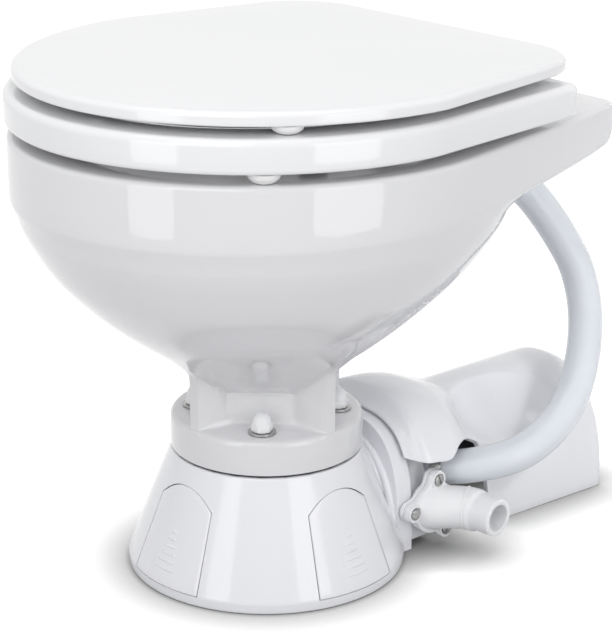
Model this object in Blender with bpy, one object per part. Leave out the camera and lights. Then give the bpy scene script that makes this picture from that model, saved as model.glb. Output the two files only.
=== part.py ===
import math

import bmesh
import bpy
from mathutils import Matrix, Vector

# An electric marine toilet. It faces -Y, the floor is z = 0, and the origin is the middle of the
# base's underside. All sizes are in metres.

# Fits and cuts
GAP = 0.0003  # between pieces that touch
RUNNING_GAP = 0.0008  # around what spins
OVERRUN = 0.002  # how far a cutter passes the face it opens
WELD = 0.00002  # points closer than this are one point

# Base housing
BASE_HEIGHT = 0.088
BASE_FOOT_RADIUS = 0.100
BASE_TOP_RADIUS = 0.0685
BASE_BAND = 0.008  # upright band at the floor
BASE_WALL = 0.005
SUMP_RADIUS = 0.044
SUMP_FLOOR = 0.012
SUMP_WALL = 0.010
NECK_FRONT = 0.020
NECK_HALF_WIDTH = 0.058
NECK_DROP = 0.004  # of its top below the base's
NECK_POWER = 2.6
COLLAR_FRONT = 0.0705
COLLAR_BACK = 0.085
COLLAR_HALF_WIDTH = 0.064
COLLAR_RISE = 0.009  # of its top above the base's
COLLAR_POWER = 3.2
CORE_ROOF = 0.060
BASE_BOLT_RADIUS = 0.084
BASE_BOLT_HOLE = 0.0045

# Bolt covers
COVER_HALF_ANGLE = math.radians(19.5)
COVER_FOOT = 0.008
COVER_SHOULDER = 0.062
COVER_PEAK = 0.074
COVER_THICKNESS = 0.003
COVER_GAP = 0.0004
POCKET_BACK_RADIUS = 0.062

# Gasket, foot flange and pedestal of the bowl
GASKET_THICKNESS = 0.0012
GASKET_INSET = 0.0015
FLANGE_RADIUS = 0.0685
FLANGE_TOP = 0.115
FLANGE_EDGE = 0.005
PEDESTAL_RIB = 0.0655
PEDESTAL_BAY = 0.0375
RIB_POWER = 18  # a larger one makes the ribs narrower
PEDESTAL_FILLET = 0.003
PEDESTAL_STRAIGHT = 0.020  # height over which the pedestal keeps its section
PEDESTAL_BLEND = 0.003
THROAT_RADIUS = 0.030

# Bowl body: sizes at the rim, and shares of them on the way down
RIM_TOP = 0.324
RIM_HALF_WIDTH = 0.168
RIM_FRONT = 0.182
RIM_REAR = 0.150
BODY_REAR = 0.168
BODY_FRONT_POWER = 1.95
BODY_REAR_POWER = 2.1
BODY_TOP = 0.276
BODY_BOTTOM = 0.146
BODY_HEIGHT_SHARES = (0, 0.077, 0.169, 0.277, 0.4, 0.523, 0.646, 0.769, 0.892, 1)
BODY_FRONT_SHARES = (0.255, 0.355, 0.452, 0.567, 0.681, 0.776, 0.858, 0.919, 0.97, 1)
BODY_REAR_SHARES = (0.175, 0.225, 0.277, 0.347, 0.445, 0.578, 0.722, 0.849, 0.939, 0.99)
BOWL_WALL = 0.010
RIM_EDGE = 0.004
SKIRT_DROP = 0.048  # height of the rim's outer wall at the front
SKIRT_RISE = 0.020  # how much shorter it gets towards the deck's corners
SKIRT_EDGE = 0.003

# Rear deck
DECK_REAR = 0.2275
DECK_HALF_WIDTH = 0.1245
DECK_CORNER = 0.018

# Rim opening and rinse channel
MOUTH_HALF_WIDTH = 0.126
MOUTH_FRONT = 0.138
MOUTH_REAR = 0.112
LIP_DEPTH = 0.025
LIP_SLOPE = 0.002

# Bowl bolts
STUD_CIRCLE = 0.0505
STUD_RADIUS = 0.003
STUD_FOOT = 0.066
STUD_TOP = 0.1215
HOLE_CLEARANCE = 0.0006
WASHER_RADIUS = 0.0098
WASHER_THICKNESS = 0.0014
NUT_RADIUS = 0.0078
NUT_HEX_HEIGHT = 0.007
NUT_DOME_HEIGHT = 0.006
NUT_DOME_SHARES = (0.35, 0.65, 0.88)

# Seat and lid
SEAT_HALF_WIDTH = 0.1688
SEAT_FRONT = 0.182
SEAT_REAR = 0.148
SEAT_REAR_HALF_WIDTH = 0.153
SEAT_CORNER = 0.008
SEAT_MIDDLE = -0.0056
SEAT_THICKNESS = 0.0225
SEAT_HOLE_HALF_WIDTH = 0.100
SEAT_HOLE_FRONT = 0.115
SEAT_HOLE_REAR = 0.098
SEAT_BUMPER_HEIGHT = 0.0071
LID_HALF_WIDTH = 0.1677
LID_FRONT = 0.1753
LID_REAR = 0.1686
LID_REAR_HALF_WIDTH = 0.149
LID_CORNER = 0.054
LID_MIDDLE = 0.0026
LID_THICKNESS = 0.012
LID_CROWN = 0.002
LID_BUMPER_HEIGHT = 0.0063
PLATE_POWER = 1.97
SEAT_EDGE_SHARES = ((0.14, 0), (0, 0.14), (0, 0.74), (0.09, 0.92), (0.26, 1))
SEAT_LIP_SHARES = ((0.7, 1), (0.25, 0.88), (0, 0.6), (0, 0.2), (0.12, 0))
LID_EDGE_SHARES = ((0.16, 0), (0, 0.16), (0, 0.5), (0.14, 0.68), (0.5, 0.79), (1.7, 0.9), (3.4, 1))
SEAT_BUMPER_RADIUS = 0.0105
SEAT_BUMPER_FRONT_SHARES = (0.718, 0.5945)  # of the rim's half width and front
SEAT_BUMPER_BACK_SHARES = (0.625, 0.9)  # of the rim's half width and rear
LID_BUMPER_RADIUS = 0.0105
LID_BUMPER_SHARES = (0.746, 0.516)  # of the seat's half width and front
BUMPER_EDGE = 0.0012

# Hinges
HINGE_Y = 0.183
HINGE_RISE = 0.0295  # of the pins above the deck
HINGE_X = 0.075
KNUCKLE_RADIUS = 0.008
POST_WIDTH = 0.010
POST_FOOT_RADIUS = 0.016
POST_FOOT_HEIGHT = 0.004
POST_DEPTH = 0.014
LUG_WIDTH = 0.009
LUG_GAP = 0.0005
SEAT_LUG_DEPTH = 0.014
LID_LUG_HEIGHT = 0.01
LUG_REACH = 0.018  # how far a lug runs into its plate
PIN_RADIUS = 0.003
HINGE_BOLT_RADIUS = 0.004
HINGE_BOLT_LENGTH = 0.044
HINGE_BOLT_GRIP = 0.018  # length of the bolt inside the post
DECK_SEAT_HEIGHT = 0.016  # thickness of the deck above each wing nut
DECK_POCKET_RADIUS = 0.016
WING_NUT_RADIUS = 0.009
WING_ROOT = 0.007
WING_NUT_HEIGHT = 0.008
WING_SPAN = 0.013
WING_THICKNESS = 0.003

# Pump line, along +Y
PUMP_AXIS_HEIGHT = 0.046
PUMP_BORE_RADIUS = 0.033
HOUSING_LENGTH = 0.0227
HOUSING_HALF_WIDTH = 0.060
HOUSING_HEIGHT = 0.080
HOUSING_FOOT = 0.004
HOUSING_POWER = 3
HOUSING_BACK_WALL = 0.004
CHAMBER_RADIUS = 0.030
CHOPPER_PLATE_RADIUS = 0.0325
CHOPPER_PLATE_THICKNESS = 0.003
CHOPPER_HOLE_RADIUS = 0.006
CHOPPER_HOLE_CIRCLE = 0.020
CHOPPER_HOLES = 5
SHAFT_RADIUS = 0.004
SHAFT_NOSE = 0.008  # shaft ahead of the housing
BLADE_RADIUS = 0.028
BLADE_WIDTH = 0.010
BLADE_THICKNESS = 0.003
BLADE_HUB_RADIUS = 0.008
BLADE_STANDOFF = 0.001
IMPELLER_RADIUS = 0.0275
IMPELLER_START = 0.0048  # behind the housing's front face
IMPELLER_DISC = 0.003
IMPELLER_VANE = 0.0095
VANE_THICKNESS = 0.0025
HUB_RADIUS = 0.0085
SEAL_RADIUS = 0.010
RINSE_LENGTH = 0.026
RINSE_RADIUS = 0.0295
RINSE_CHAMBER_RADIUS = 0.024
RINSE_WALL = 0.004
RINSE_IMPELLER_RADIUS = 0.0225
RINSE_IMPELLER_WIDTH = 0.017

# Motor
MOTOR_LENGTH = 0.112
MOTOR_RADIUS = 0.036
MOTOR_WALL = 0.0025
MOTOR_PLATE = 0.0055
BEARING_RADIUS = 0.009
BEARING_WIDTH = 0.005
END_BELL_LENGTH = 0.012
END_BELL_EDGE = 0.003
ARMATURE_RADIUS = 0.0275
ARMATURE_START = 0.020
ARMATURE_LENGTH = 0.070
COMMUTATOR_RADIUS = 0.012
COMMUTATOR_LENGTH = 0.012
MAGNET_THICKNESS = 0.0042
MAGNET_LENGTH = 0.080
MAGNET_START = 0.015
MAGNET_HALF_ANGLE = math.radians(62)

# Discharge port, elbow and joker valve
PORT_Y = 0.100
PORT_Z = 0.0314
PORT_THROAT_RADIUS = 0.007
PORT_THROAT_START = 0.022
PORT_RADIUS = 0.0095
PORT_CORE_RADIUS = 0.013
PORT_CORE_START = 0.0302
PORT_FACE_X = 0.068
PORT_PAD = 0.0034
FLANGE_DISC_RADIUS = 0.0195
FLANGE_LOBE_RADIUS = 0.0072
FLANGE_SCREW_CIRCLE = 0.0218
FLANGE_THICKNESS = 0.0048
FLANGE_SCREW_ANGLES = (math.radians(86), math.radians(176), math.radians(299))
ELBOW_ROOT_RADIUS = 0.0172
ELBOW_ROOT_LENGTH = 0.012
ELBOW_MOUTH_DEPTH = 0.0095
ELBOW_BODY_RADIUS = 0.0158
ELBOW_TAIL_RADIUS = 0.0138
ELBOW_BODY_BORE = 0.011
ELBOW_TAIL_BORE = 0.010
ELBOW_TURN = math.radians(45)
ELBOW_BODY_LENGTH = 0.025
ELBOW_TAIL_LENGTH = 0.031
ELBOW_TAIL_ANGLE = math.radians(5)
ELBOW_RECESS = 0.0016
JOKER_RADIUS = 0.0125
JOKER_TIP_RADIUS = 0.003
JOKER_LENGTH = 0.008
SCREW_HEAD_RADIUS = 0.0042
SCREW_HEAD_HEIGHT = 0.0022
SCREW_SLOT = 0.0011
SCREW_SHANK_RADIUS = 0.0021
SCREW_LENGTH = 0.0075
SCREW_ACCESS_RADIUS = 0.0049
SCREW_ACCESS = 0.006

# Rinse spout, intake and flush hose
HOSE_RADIUS = 0.013
HOSE_BORE = 0.0095
SPOUT_RADIUS = 0.0086
SPOUT_BORE = 0.006
SPOUT_LENGTH = 0.016
SPOUT_COLLAR_RADIUS = 0.011
SPOUT_COLLAR = 0.005
INTAKE_LENGTH = 0.040
CLAMP_WIDTH = 0.009
CLAMP_THICKNESS = 0.001
CLAMP_OFFSET = 0.007
CLAMP_HOUSING = (0.008, 0.011, 0.006)
HOSE_ROUTE = (
    (0.0440, 0.1210, 0.0490),
    (0.0550, 0.1258, 0.0510),
    (0.0660, 0.1312, 0.0530),
    (0.0800, 0.1410, 0.0570),
    (0.0915, 0.1530, 0.0613),
    (0.0980, 0.1680, 0.0663),
    (0.0990, 0.1870, 0.0730),
    (0.0950, 0.2105, 0.0820),
    (0.0880, 0.2310, 0.0935),
    (0.0800, 0.2480, 0.1105),
    (0.0720, 0.2600, 0.1270),
    (0.0640, 0.2683, 0.1430),
    (0.0560, 0.2728, 0.1590),
    (0.0480, 0.2730, 0.1762),
    (0.0410, 0.2690, 0.1905),
    (0.0320, 0.2620, 0.2080),
    (0.0200, 0.2500, 0.2300),
    (0.0100, 0.2350, 0.2455),
)
HOSE_STEPS = 23
HOSE_SIDES = 12

# Inlet spud at the back of the bowl
SPUD_TILT = math.radians(30)
SPUD_BOSS_Y = 0.193
SPUD_BOSS_Z = 0.271
SPUD_BOSS_RADIUS = 0.0185
SPUD_BOSS_DEPTH = 0.034
SPUD_HOLE_RADIUS = 0.0135
SPUD_HOLE_DEPTH = 0.050
SPUD_STEM_LENGTH = 0.022
SPUD_PIPE_RADIUS = 0.0105
GROMMET_FLANGE_RADIUS = 0.0165
GROMMET_FLANGE = 0.0025
GROMMET_LENGTH = 0.018

# Motor cover: a hood seated on the base's collar, and a long body behind it
SHELL_WALL = 0.003
SHELL_FRONT = 0.080
HOOD_RIGHT = 0.088
HOOD_LEFT = 0.0668
HOOD_TOP = 0.115
HOOD_END = 0.152
HOOD_SEAT = 0.004  # length that grips the collar
HOOD_LENGTH_SHARES = (0.1, 0.17, 0.33, 0.52, 0.70, 0.86, 1)
HOOD_RIGHT_SHARES = (0.89, 0.965, 1, 1, 0.96, 0.87, 0.74)
HOOD_LEFT_SHARES = (1, 1, 0.99, 0.97, 0.9, 0.81, 0.69)
HOOD_TOP_SHARES = (0.93, 0.975, 0.992, 0.978, 0.942, 0.9, 0.85)
HOOD_POWERS = (3, 2.6, 2.35, 2.35, 2.35, 2.4, 2.4)
BODY_SHELL_FRONT = 0.128
BODY_SHELL_BACK = 0.283
BODY_SHELL_LEFT = 0.048
BODY_SHELL_RIGHT = 0.0775
BODY_SHELL_NARROW = 0.0085  # how much less it reaches to the right in front
BODY_SHELL_TOP = 0.0955
BODY_SHELL_POWER = 2.4
BODY_SHELL_EDGE = 0.006
SCOOP_MIDDLE = (0.095, 0.195, 0.112)
SCOOP_RADII = (0.080, 0.072, 0.062)
BEAK_EDGE_HEIGHT = 0.067
SIDE_OPENING_BACK = 0.160
SIDE_OPENING_INNER = 0.050
HOSE_NOTCH_Y = 0.133
HOSE_NOTCH_TOP = 0.079
HOSE_NOTCH_RADIUS = 0.017
SHELL_FOOT_GAP = 0.0005
CABLE_NOTCH_RADIUS = 0.007
CABLE_NOTCH_X = -0.02

# Faces around a round piece
FINE = 24
MEDIUM = 18
COARSE = 10
BOWL_SIDES = 36
PLATE_SIDES = 42
CORNER_SIDES = 4
ARCH_SIDES = 16
LOBE_SIDES = 30
SHARP_ANGLE = math.radians(35)

NECK_HEIGHT = BASE_HEIGHT - NECK_DROP
COLLAR_HEIGHT = BASE_HEIGHT + COLLAR_RISE
PINS_Z = RIM_TOP + HINGE_RISE
HOUSING_FRONT = COLLAR_BACK + GAP
HOUSING_BACK = HOUSING_FRONT + HOUSING_LENGTH
RINSE_FRONT = HOUSING_BACK + GAP
RINSE_BACK = RINSE_FRONT + RINSE_LENGTH
MOTOR_FRONT = RINSE_BACK + GAP
MOTOR_BACK = MOTOR_FRONT + MOTOR_LENGTH
FLANGE_BOTTOM = BASE_HEIGHT + GASKET_THICKNESS + 2 * GAP
SEAT_BOTTOM = RIM_TOP + SEAT_BUMPER_HEIGHT + GAP
SEAT_TOP = SEAT_BOTTOM + SEAT_THICKNESS
LID_BOTTOM = SEAT_TOP + LID_BUMPER_HEIGHT + GAP
ALONG_X = Vector((1, 0, 0))
ALONG_Y = Vector((0, 1, 0))
ALONG_Z = Vector((0, 0, 1))


# Materials


def make_material(name, colour, roughness, metallic=0.0):
    material = bpy.data.materials.new(name)
    material.use_nodes = True
    shader = material.node_tree.nodes["Principled BSDF"]
    shader.inputs["Base Color"].default_value = (*colour, 1)
    shader.inputs["Roughness"].default_value = roughness
    shader.inputs["Metallic"].default_value = metallic
    return material


def make_looks():
    return {
        "ceramic": make_material("ceramic", (0.86, 0.86, 0.87), 0.06),
        "enamel": make_material("enamel", (0.88, 0.88, 0.90), 0.10),
        "plastic": make_material("plastic", (0.82, 0.82, 0.87), 0.22),
        "nylon": make_material("nylon", (0.87, 0.88, 0.90), 0.35),
        "hose": make_material("hose", (0.80, 0.82, 0.86), 0.30),
        "rubber": make_material("rubber", (0.03, 0.03, 0.03), 0.70),
        "bumper": make_material("bumper", (0.85, 0.85, 0.86), 0.45),
        "steel": make_material("steel", (0.62, 0.62, 0.60), 0.25, 1.0),
        "motor": make_material("motor", (0.10, 0.10, 0.11), 0.40, 0.6),
        "copper": make_material("copper", (0.72, 0.42, 0.25), 0.35, 1.0),
    }


# Mesh helpers


def link_mesh(name, bm, look):
    bmesh.ops.recalc_face_normals(bm, faces=bm.faces)
    mesh = bpy.data.meshes.new(name)
    bm.to_mesh(mesh)
    bm.free()
    mesh.materials.append(look)
    piece = bpy.data.objects.new(name, mesh)
    bpy.context.scene.collection.objects.link(piece)
    return piece


def around(radius, steps=COARSE):
    """Radius of a many-sided hole whose flats stay one gap off a bar of the given radius."""
    return (radius + GAP) / math.cos(math.pi / steps)


def point_along(piece, start, direction):
    piece.location = start
    piece.rotation_mode = "QUATERNION"
    piece.rotation_quaternion = Vector(direction).to_track_quat("Z", "Y")
    return piece


def turned(name, profile, look, closed=False, steps=MEDIUM):
    """A profile of (radius, height) points, turned about Z."""
    bm = bmesh.new()
    points = [bm.verts.new((radius, 0, height)) for radius, height in profile]
    pairs = list(zip(points, points[1:]))
    if closed:
        pairs.append((points[-1], points[0]))
    edges = [bm.edges.new(pair) for pair in pairs]
    bmesh.ops.spin(
        bm, geom=points + edges, axis=(0, 0, 1), cent=(0, 0, 0), angle=2 * math.pi, steps=steps, use_merge=True
    )
    bmesh.ops.remove_doubles(bm, verts=bm.verts, dist=WELD)
    return link_mesh(name, bm, look)


def rod(name, radius, start, end, look, steps=MEDIUM):
    """A plain round bar between two points."""
    run = Vector(end) - Vector(start)
    bar = turned(name, [(0, 0), (radius, 0), (radius, run.length), (0, run.length)], look, steps=steps)
    return point_along(bar, start, run)


def tube(name, outer, inner, length, look, steps=MEDIUM):
    """A ring or sleeve standing on z = 0."""
    profile = [(inner, 0), (outer, 0), (outer, length), (inner, length)]
    return turned(name, profile, look, closed=True, steps=steps)


def lofted(name, rings, look, closed=False):
    """Rings with equal numbers of points, joined in order; open lofts get end caps."""
    bm = bmesh.new()
    rows = [[bm.verts.new(point) for point in ring] for ring in rings]
    pairs = list(zip(rows, rows[1:]))
    if closed:
        pairs.append((rows[-1], rows[0]))
    else:
        bm.faces.new(rows[0])
        bm.faces.new(rows[-1])
    for low, high in pairs:
        for i in range(len(low)):
            j = (i + 1) % len(low)
            bm.faces.new((low[i], low[j], high[j], high[i]))
    return link_mesh(name, bm, look)


def prism(name, outline, direction, start, length, look):
    """A flat outline of (across, up) points, extruded along a row axis."""
    frames = {"X": lambda a, u, d: (d, a, u), "Y": lambda a, u, d: (a, d, u), "Z": lambda a, u, d: (a, u, d)}
    place = frames[direction]
    rings = [[Vector(place(a, u, d)) for a, u in outline] for d in (start, start + length)]
    return lofted(name, rings, look)


def block(name, low, high, look):
    outline = [(low[0], low[1]), (high[0], low[1]), (high[0], high[1]), (low[0], high[1])]
    return prism(name, outline, "Z", low[2], high[2] - low[2], look)


def combine(body, tool, operation):
    """One Boolean, applied, after which the tool is gone."""
    step = body.modifiers.new("step", "BOOLEAN")
    step.operation = operation
    step.object = tool
    bpy.context.view_layer.update()
    graph = bpy.context.evaluated_depsgraph_get()
    result = bpy.data.meshes.new_from_object(body.evaluated_get(graph))
    result.name = body.name
    body.modifiers.clear()
    body.data = result
    bpy.data.objects.remove(tool)
    bm = bmesh.new()
    bm.from_mesh(result)
    bmesh.ops.remove_doubles(bm, verts=bm.verts, dist=WELD)
    bmesh.ops.dissolve_degenerate(bm, edges=bm.edges, dist=WELD)
    bm.to_mesh(result)
    bm.free()
    return body


def cut(body, *tools):
    for tool in tools:
        combine(body, tool, "DIFFERENCE")
    return body


def fuse(body, *tools):
    for tool in tools:
        combine(body, tool, "UNION")
    return body


def copies(piece, places):
    """The piece at its first place, and copies that share its mesh at the others."""
    stem = piece.name
    made = [piece]
    for number in range(1, len(places)):
        twin = piece.copy()
        bpy.context.scene.collection.objects.link(twin)
        made.append(twin)
    for number, (copy, place) in enumerate(zip(made, places), start=1):
        copy.name = f"{stem}_{number}"
        copy.location = place
    return made


def carry(pieces, pivot_name, place):
    """Parents moving pieces to an empty on their joint's axis."""
    pivot = bpy.data.objects.new(pivot_name, None)
    pivot.location = place
    bpy.context.scene.collection.objects.link(pivot)
    for piece in pieces:
        piece.location = piece.location - Vector(place)
        piece.parent = pivot


# Outlines


def oval(angle, half_width, front, rear, powers, middle=0.0):
    """Point of a plan outline, elliptic in front and squarer behind, seen from its middle."""
    across, along = math.cos(angle), math.sin(angle)
    power = powers[0] if along < 0 else powers[1]
    reach = (abs(across) ** power + abs(along) ** power) ** (-1 / power)
    depth = front + middle if along < 0 else rear - middle
    return half_width * reach * across, depth * reach * along + middle


def turn_angles(count=PLATE_SIDES):
    return [2 * math.pi * i / count for i in range(count)]


def inset_outline(points, inset):
    """Moves each point of a closed outline inwards along its normal."""
    moved = []
    for i, point in enumerate(points):
        before, after = Vector(points[i - 1]), Vector(points[(i + 1) % len(points)])
        run = (after - before).normalized()
        moved.append(Vector(point) + Vector((-run.y, run.x)) * inset)
    return moved


def hull(points):
    """Convex outline around points, anticlockwise."""
    ordered = sorted(set(points))
    halves = []
    for run in (ordered, ordered[::-1]):
        half = []
        for point in run:
            while len(half) > 1 and cross(half[-2], half[-1], point) <= 0:
                half.pop()
            half.append(point)
        halves += half[:-1]
    return halves


def cross(a, b, c):
    return (b[0] - a[0]) * (c[1] - a[1]) - (b[1] - a[1]) * (c[0] - a[0])


def reach_of(outline, angle):
    """Distance from the origin to a closed outline, along an angle."""
    ray = Vector((math.cos(angle), math.sin(angle)))
    farthest = 0.0
    for a, b in zip(outline, outline[1:] + outline[:1]):
        start, run = Vector(a), Vector(b) - Vector(a)
        spread = ray.cross(run)
        if spread == 0:
            continue
        along_ray = start.cross(run) / spread
        along_run = start.cross(ray) / spread
        if 0 <= along_run <= 1:
            farthest = max(farthest, along_ray)
    return farthest


def arch(y, left, right, top, power, floor=0.0):
    """A section standing on the floor, upright at the sides and round on top."""
    middle, half_width = (right - left) / 2, (right + left) / 2
    section = []
    for i in range(ARCH_SIDES + 1):
        angle = math.pi * i / ARCH_SIDES
        across = math.copysign(abs(math.cos(angle)) ** (2 / power), math.cos(angle))
        up = abs(math.sin(angle)) ** (2 / power)
        section.append(Vector((middle + half_width * across, y, floor + (top - floor) * up)))
    return section


# Base housing and its bolt covers


def cone_radius(z):
    share = min(max((z - BASE_BAND) / (BASE_HEIGHT - BASE_BAND), 0), 1)
    return BASE_FOOT_RADIUS + (BASE_TOP_RADIUS - BASE_FOOT_RADIUS) * share


def cone_patch(name, centre, half_angle, inner, outer, low, high, look, steps=6, levels=1):
    """A curved panel of the cone: inner and outer give radii by height, high gives the top by angle."""
    bm = bmesh.new()
    grids = []
    for radius_at in (inner, outer):
        grid = []
        for i in range(steps + 1):
            side = 2 * i / steps - 1
            angle = centre + side * half_angle
            top = high(abs(side))
            heights = [low + (top - low) * k / levels for k in range(levels + 1)]
            row = [(radius_at(z) * math.cos(angle), radius_at(z) * math.sin(angle), z) for z in heights]
            grid.append([bm.verts.new(point) for point in row])
        grids.append(grid)
    for grid in grids:
        for i in range(steps):
            for k in range(levels):
                bm.faces.new((grid[i][k], grid[i + 1][k], grid[i + 1][k + 1], grid[i][k + 1]))
    inside, outside = grids
    for i in range(steps):
        for k in (0, levels):
            bm.faces.new((inside[i][k], inside[i + 1][k], outside[i + 1][k], outside[i][k]))
    for i in (0, steps):
        for k in range(levels):
            bm.faces.new((inside[i][k], inside[i][k + 1], outside[i][k + 1], outside[i][k]))
    return link_mesh(name, bm, look)


def cover_top(side, grown=0.0):
    return COVER_SHOULDER + (COVER_PEAK - COVER_SHOULDER) * (1 - side**2) + grown


def cover_angles():
    return {"front": -math.pi / 2, "right": 0.0, "left": math.pi}


def add_base(looks):
    profile = [
        (0, 0),
        (BASE_FOOT_RADIUS, 0),
        (BASE_FOOT_RADIUS, BASE_BAND),
        (BASE_TOP_RADIUS, BASE_HEIGHT),
        (0, BASE_HEIGHT),
    ]
    base = turned("base_housing", profile, looks["plastic"], steps=2 * MEDIUM)
    sides = (NECK_HALF_WIDTH, NECK_HALF_WIDTH)
    neck = [arch(y, *sides, NECK_HEIGHT, NECK_POWER) for y in (NECK_FRONT, COLLAR_FRONT + GAP)]
    sides = (COLLAR_HALF_WIDTH, COLLAR_HALF_WIDTH)
    collar = [arch(y, *sides, COLLAR_HEIGHT, COLLAR_POWER) for y in (COLLAR_FRONT, COLLAR_BACK)]
    fuse(base, lofted("neck", neck, looks["plastic"]), lofted("collar", collar, looks["plastic"]))
    sump_top = BASE_HEIGHT + OVERRUN
    cut(base, rod("sump", SUMP_RADIUS, (0, 0, SUMP_FLOOR), (0, 0, sump_top), looks["plastic"], FINE))
    axis_end = (0, COLLAR_BACK + OVERRUN, PUMP_AXIS_HEIGHT)
    cut(base, rod("bore", PUMP_BORE_RADIUS, (0, NECK_FRONT, PUMP_AXIS_HEIGHT), axis_end, looks["plastic"]))
    beyond_low = (-COLLAR_HALF_WIDTH - OVERRUN, COLLAR_BACK, -OVERRUN)
    beyond_high = (COLLAR_HALF_WIDTH + OVERRUN, BASE_FOOT_RADIUS + OVERRUN, COLLAR_HEIGHT + OVERRUN)
    cut(base, block("beyond", beyond_low, beyond_high, looks["plastic"]))
    pocket_angle = COVER_HALF_ANGLE + COVER_GAP / BASE_TOP_RADIUS
    for angle in cover_angles().values():
        pocket = cone_patch(
            "pocket",
            angle,
            pocket_angle,
            lambda z: POCKET_BACK_RADIUS,
            lambda z: cone_radius(z) + OVERRUN,
            COVER_FOOT - COVER_GAP,
            lambda side: cover_top(side, COVER_GAP),
            looks["plastic"],
        )
        foot = Vector((math.cos(angle), math.sin(angle), 0)) * BASE_BOLT_RADIUS
        low, high = foot - ALONG_Z * OVERRUN, foot + ALONG_Z * (COVER_FOOT + OVERRUN)
        hole = rod("hole", BASE_BOLT_HOLE, low, high, looks["plastic"], FINE)
        cut(base, pocket, hole)
    rib = BASE_WALL / SUMP_RADIUS
    front_half = math.pi / 4 - COVER_HALF_ANGLE - rib
    rear_half = front_half / 2
    cores = [(-math.pi / 4, front_half), (-3 * math.pi / 4, front_half)]
    rear_middle = (COVER_HALF_ANGLE + rib + math.pi / 4) / 2
    cores += [(rear_middle, rear_half), (math.pi - rear_middle, rear_half)]
    for angle, half in cores:
        core = cone_patch(
            "core",
            angle,
            half,
            lambda z: SUMP_RADIUS + SUMP_WALL,
            lambda z: cone_radius(z) - BASE_WALL,
            -OVERRUN,
            lambda side: CORE_ROOF,
            looks["plastic"],
            levels=2,
        )
        cut(base, core)
    for place in stud_places(0):
        hole = rod(
            "hole",
            STUD_RADIUS + HOLE_CLEARANCE,
            place + ALONG_Z * (STUD_FOOT - GAP),
            place + ALONG_Z * (BASE_HEIGHT + OVERRUN),
            looks["plastic"],
            COARSE,
        )
        cut(base, hole)
    for name, angle in cover_angles().items():
        cone_patch(
            f"bolt_cover_{name}",
            angle,
            COVER_HALF_ANGLE,
            lambda z: cone_radius(z) - COVER_THICKNESS,
            cone_radius,
            COVER_FOOT,
            cover_top,
            looks["plastic"],
            steps=8,
        )
    return base


# Bowl


def stud_places(z):
    reach = STUD_CIRCLE * math.sqrt(0.5)
    return [Vector((x * reach, y * reach, z)) for x, y in ((1, -1), (-1, -1), (1, 1), (-1, 1))]


def bowl_angles():
    """Even steps around the bowl, with extra ones on the deck's round corners."""
    angles = set(turn_angles(BOWL_SIDES))
    corner = Vector((DECK_HALF_WIDTH - DECK_CORNER, DECK_REAR - DECK_CORNER))
    for k in range(CORNER_SIDES):
        turn = math.pi / 2 * k / (CORNER_SIDES - 1)
        x = corner.x + DECK_CORNER * math.cos(turn)
        y = corner.y + DECK_CORNER * math.sin(turn)
        angles |= {math.atan2(y, x), math.atan2(y, -x)}
    return sorted(angles)


def pedestal_reach(angle):
    """Reach of the pedestal: four upright ribs with a flat bay between each two."""
    bay = PEDESTAL_BAY / math.cos(angle % (math.pi / 2) - math.pi / 4)
    return bay + (PEDESTAL_RIB - bay) * abs(math.cos(2 * angle)) ** RIB_POWER


def flange_reach(inset):
    """Reach of the flange's rounded edge, which the ribs fill up."""
    return lambda angle: max(FLANGE_RADIUS - inset, pedestal_reach(angle) + GAP)


def body_outline(front_share, rear_share):
    half_width = RIM_HALF_WIDTH * front_share
    front = RIM_FRONT * front_share
    rear = BODY_REAR * rear_share
    powers = (BODY_FRONT_POWER, BODY_REAR_POWER)
    return [oval(angle, half_width, front, rear, powers) for angle in turn_angles(4 * PLATE_SIDES)]


def top_outline():
    """Rim and deck together: the rim's oval, drawn straight back to the deck's round corners."""
    powers = (BODY_FRONT_POWER, BODY_REAR_POWER)
    angles = turn_angles(4 * PLATE_SIDES)
    points = [oval(angle, RIM_HALF_WIDTH, RIM_FRONT, RIM_REAR, powers) for angle in angles]
    corner_y = DECK_REAR - DECK_CORNER
    for side in (-1, 1):
        for angle in turn_angles(COARSE):
            x = side * (DECK_HALF_WIDTH - DECK_CORNER) + DECK_CORNER * math.cos(angle)
            points.append((x, corner_y + DECK_CORNER * math.sin(angle)))
    return hull(points)


def smooth_max(a, b, blend):
    """The larger of two lengths, rounded where they meet."""
    return (a + b + math.sqrt((a - b) ** 2 + blend**2)) / 2


def ring_at(reach, z):
    """A ring of the bowl from a reach by angle and a height, either of which may vary."""
    ring = []
    for angle in bowl_angles():
        length = reach(angle) if callable(reach) else reach
        height = z(angle) if callable(z) else z
        ring.append(Vector((length * math.cos(angle), length * math.sin(angle), height)))
    return ring


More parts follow.
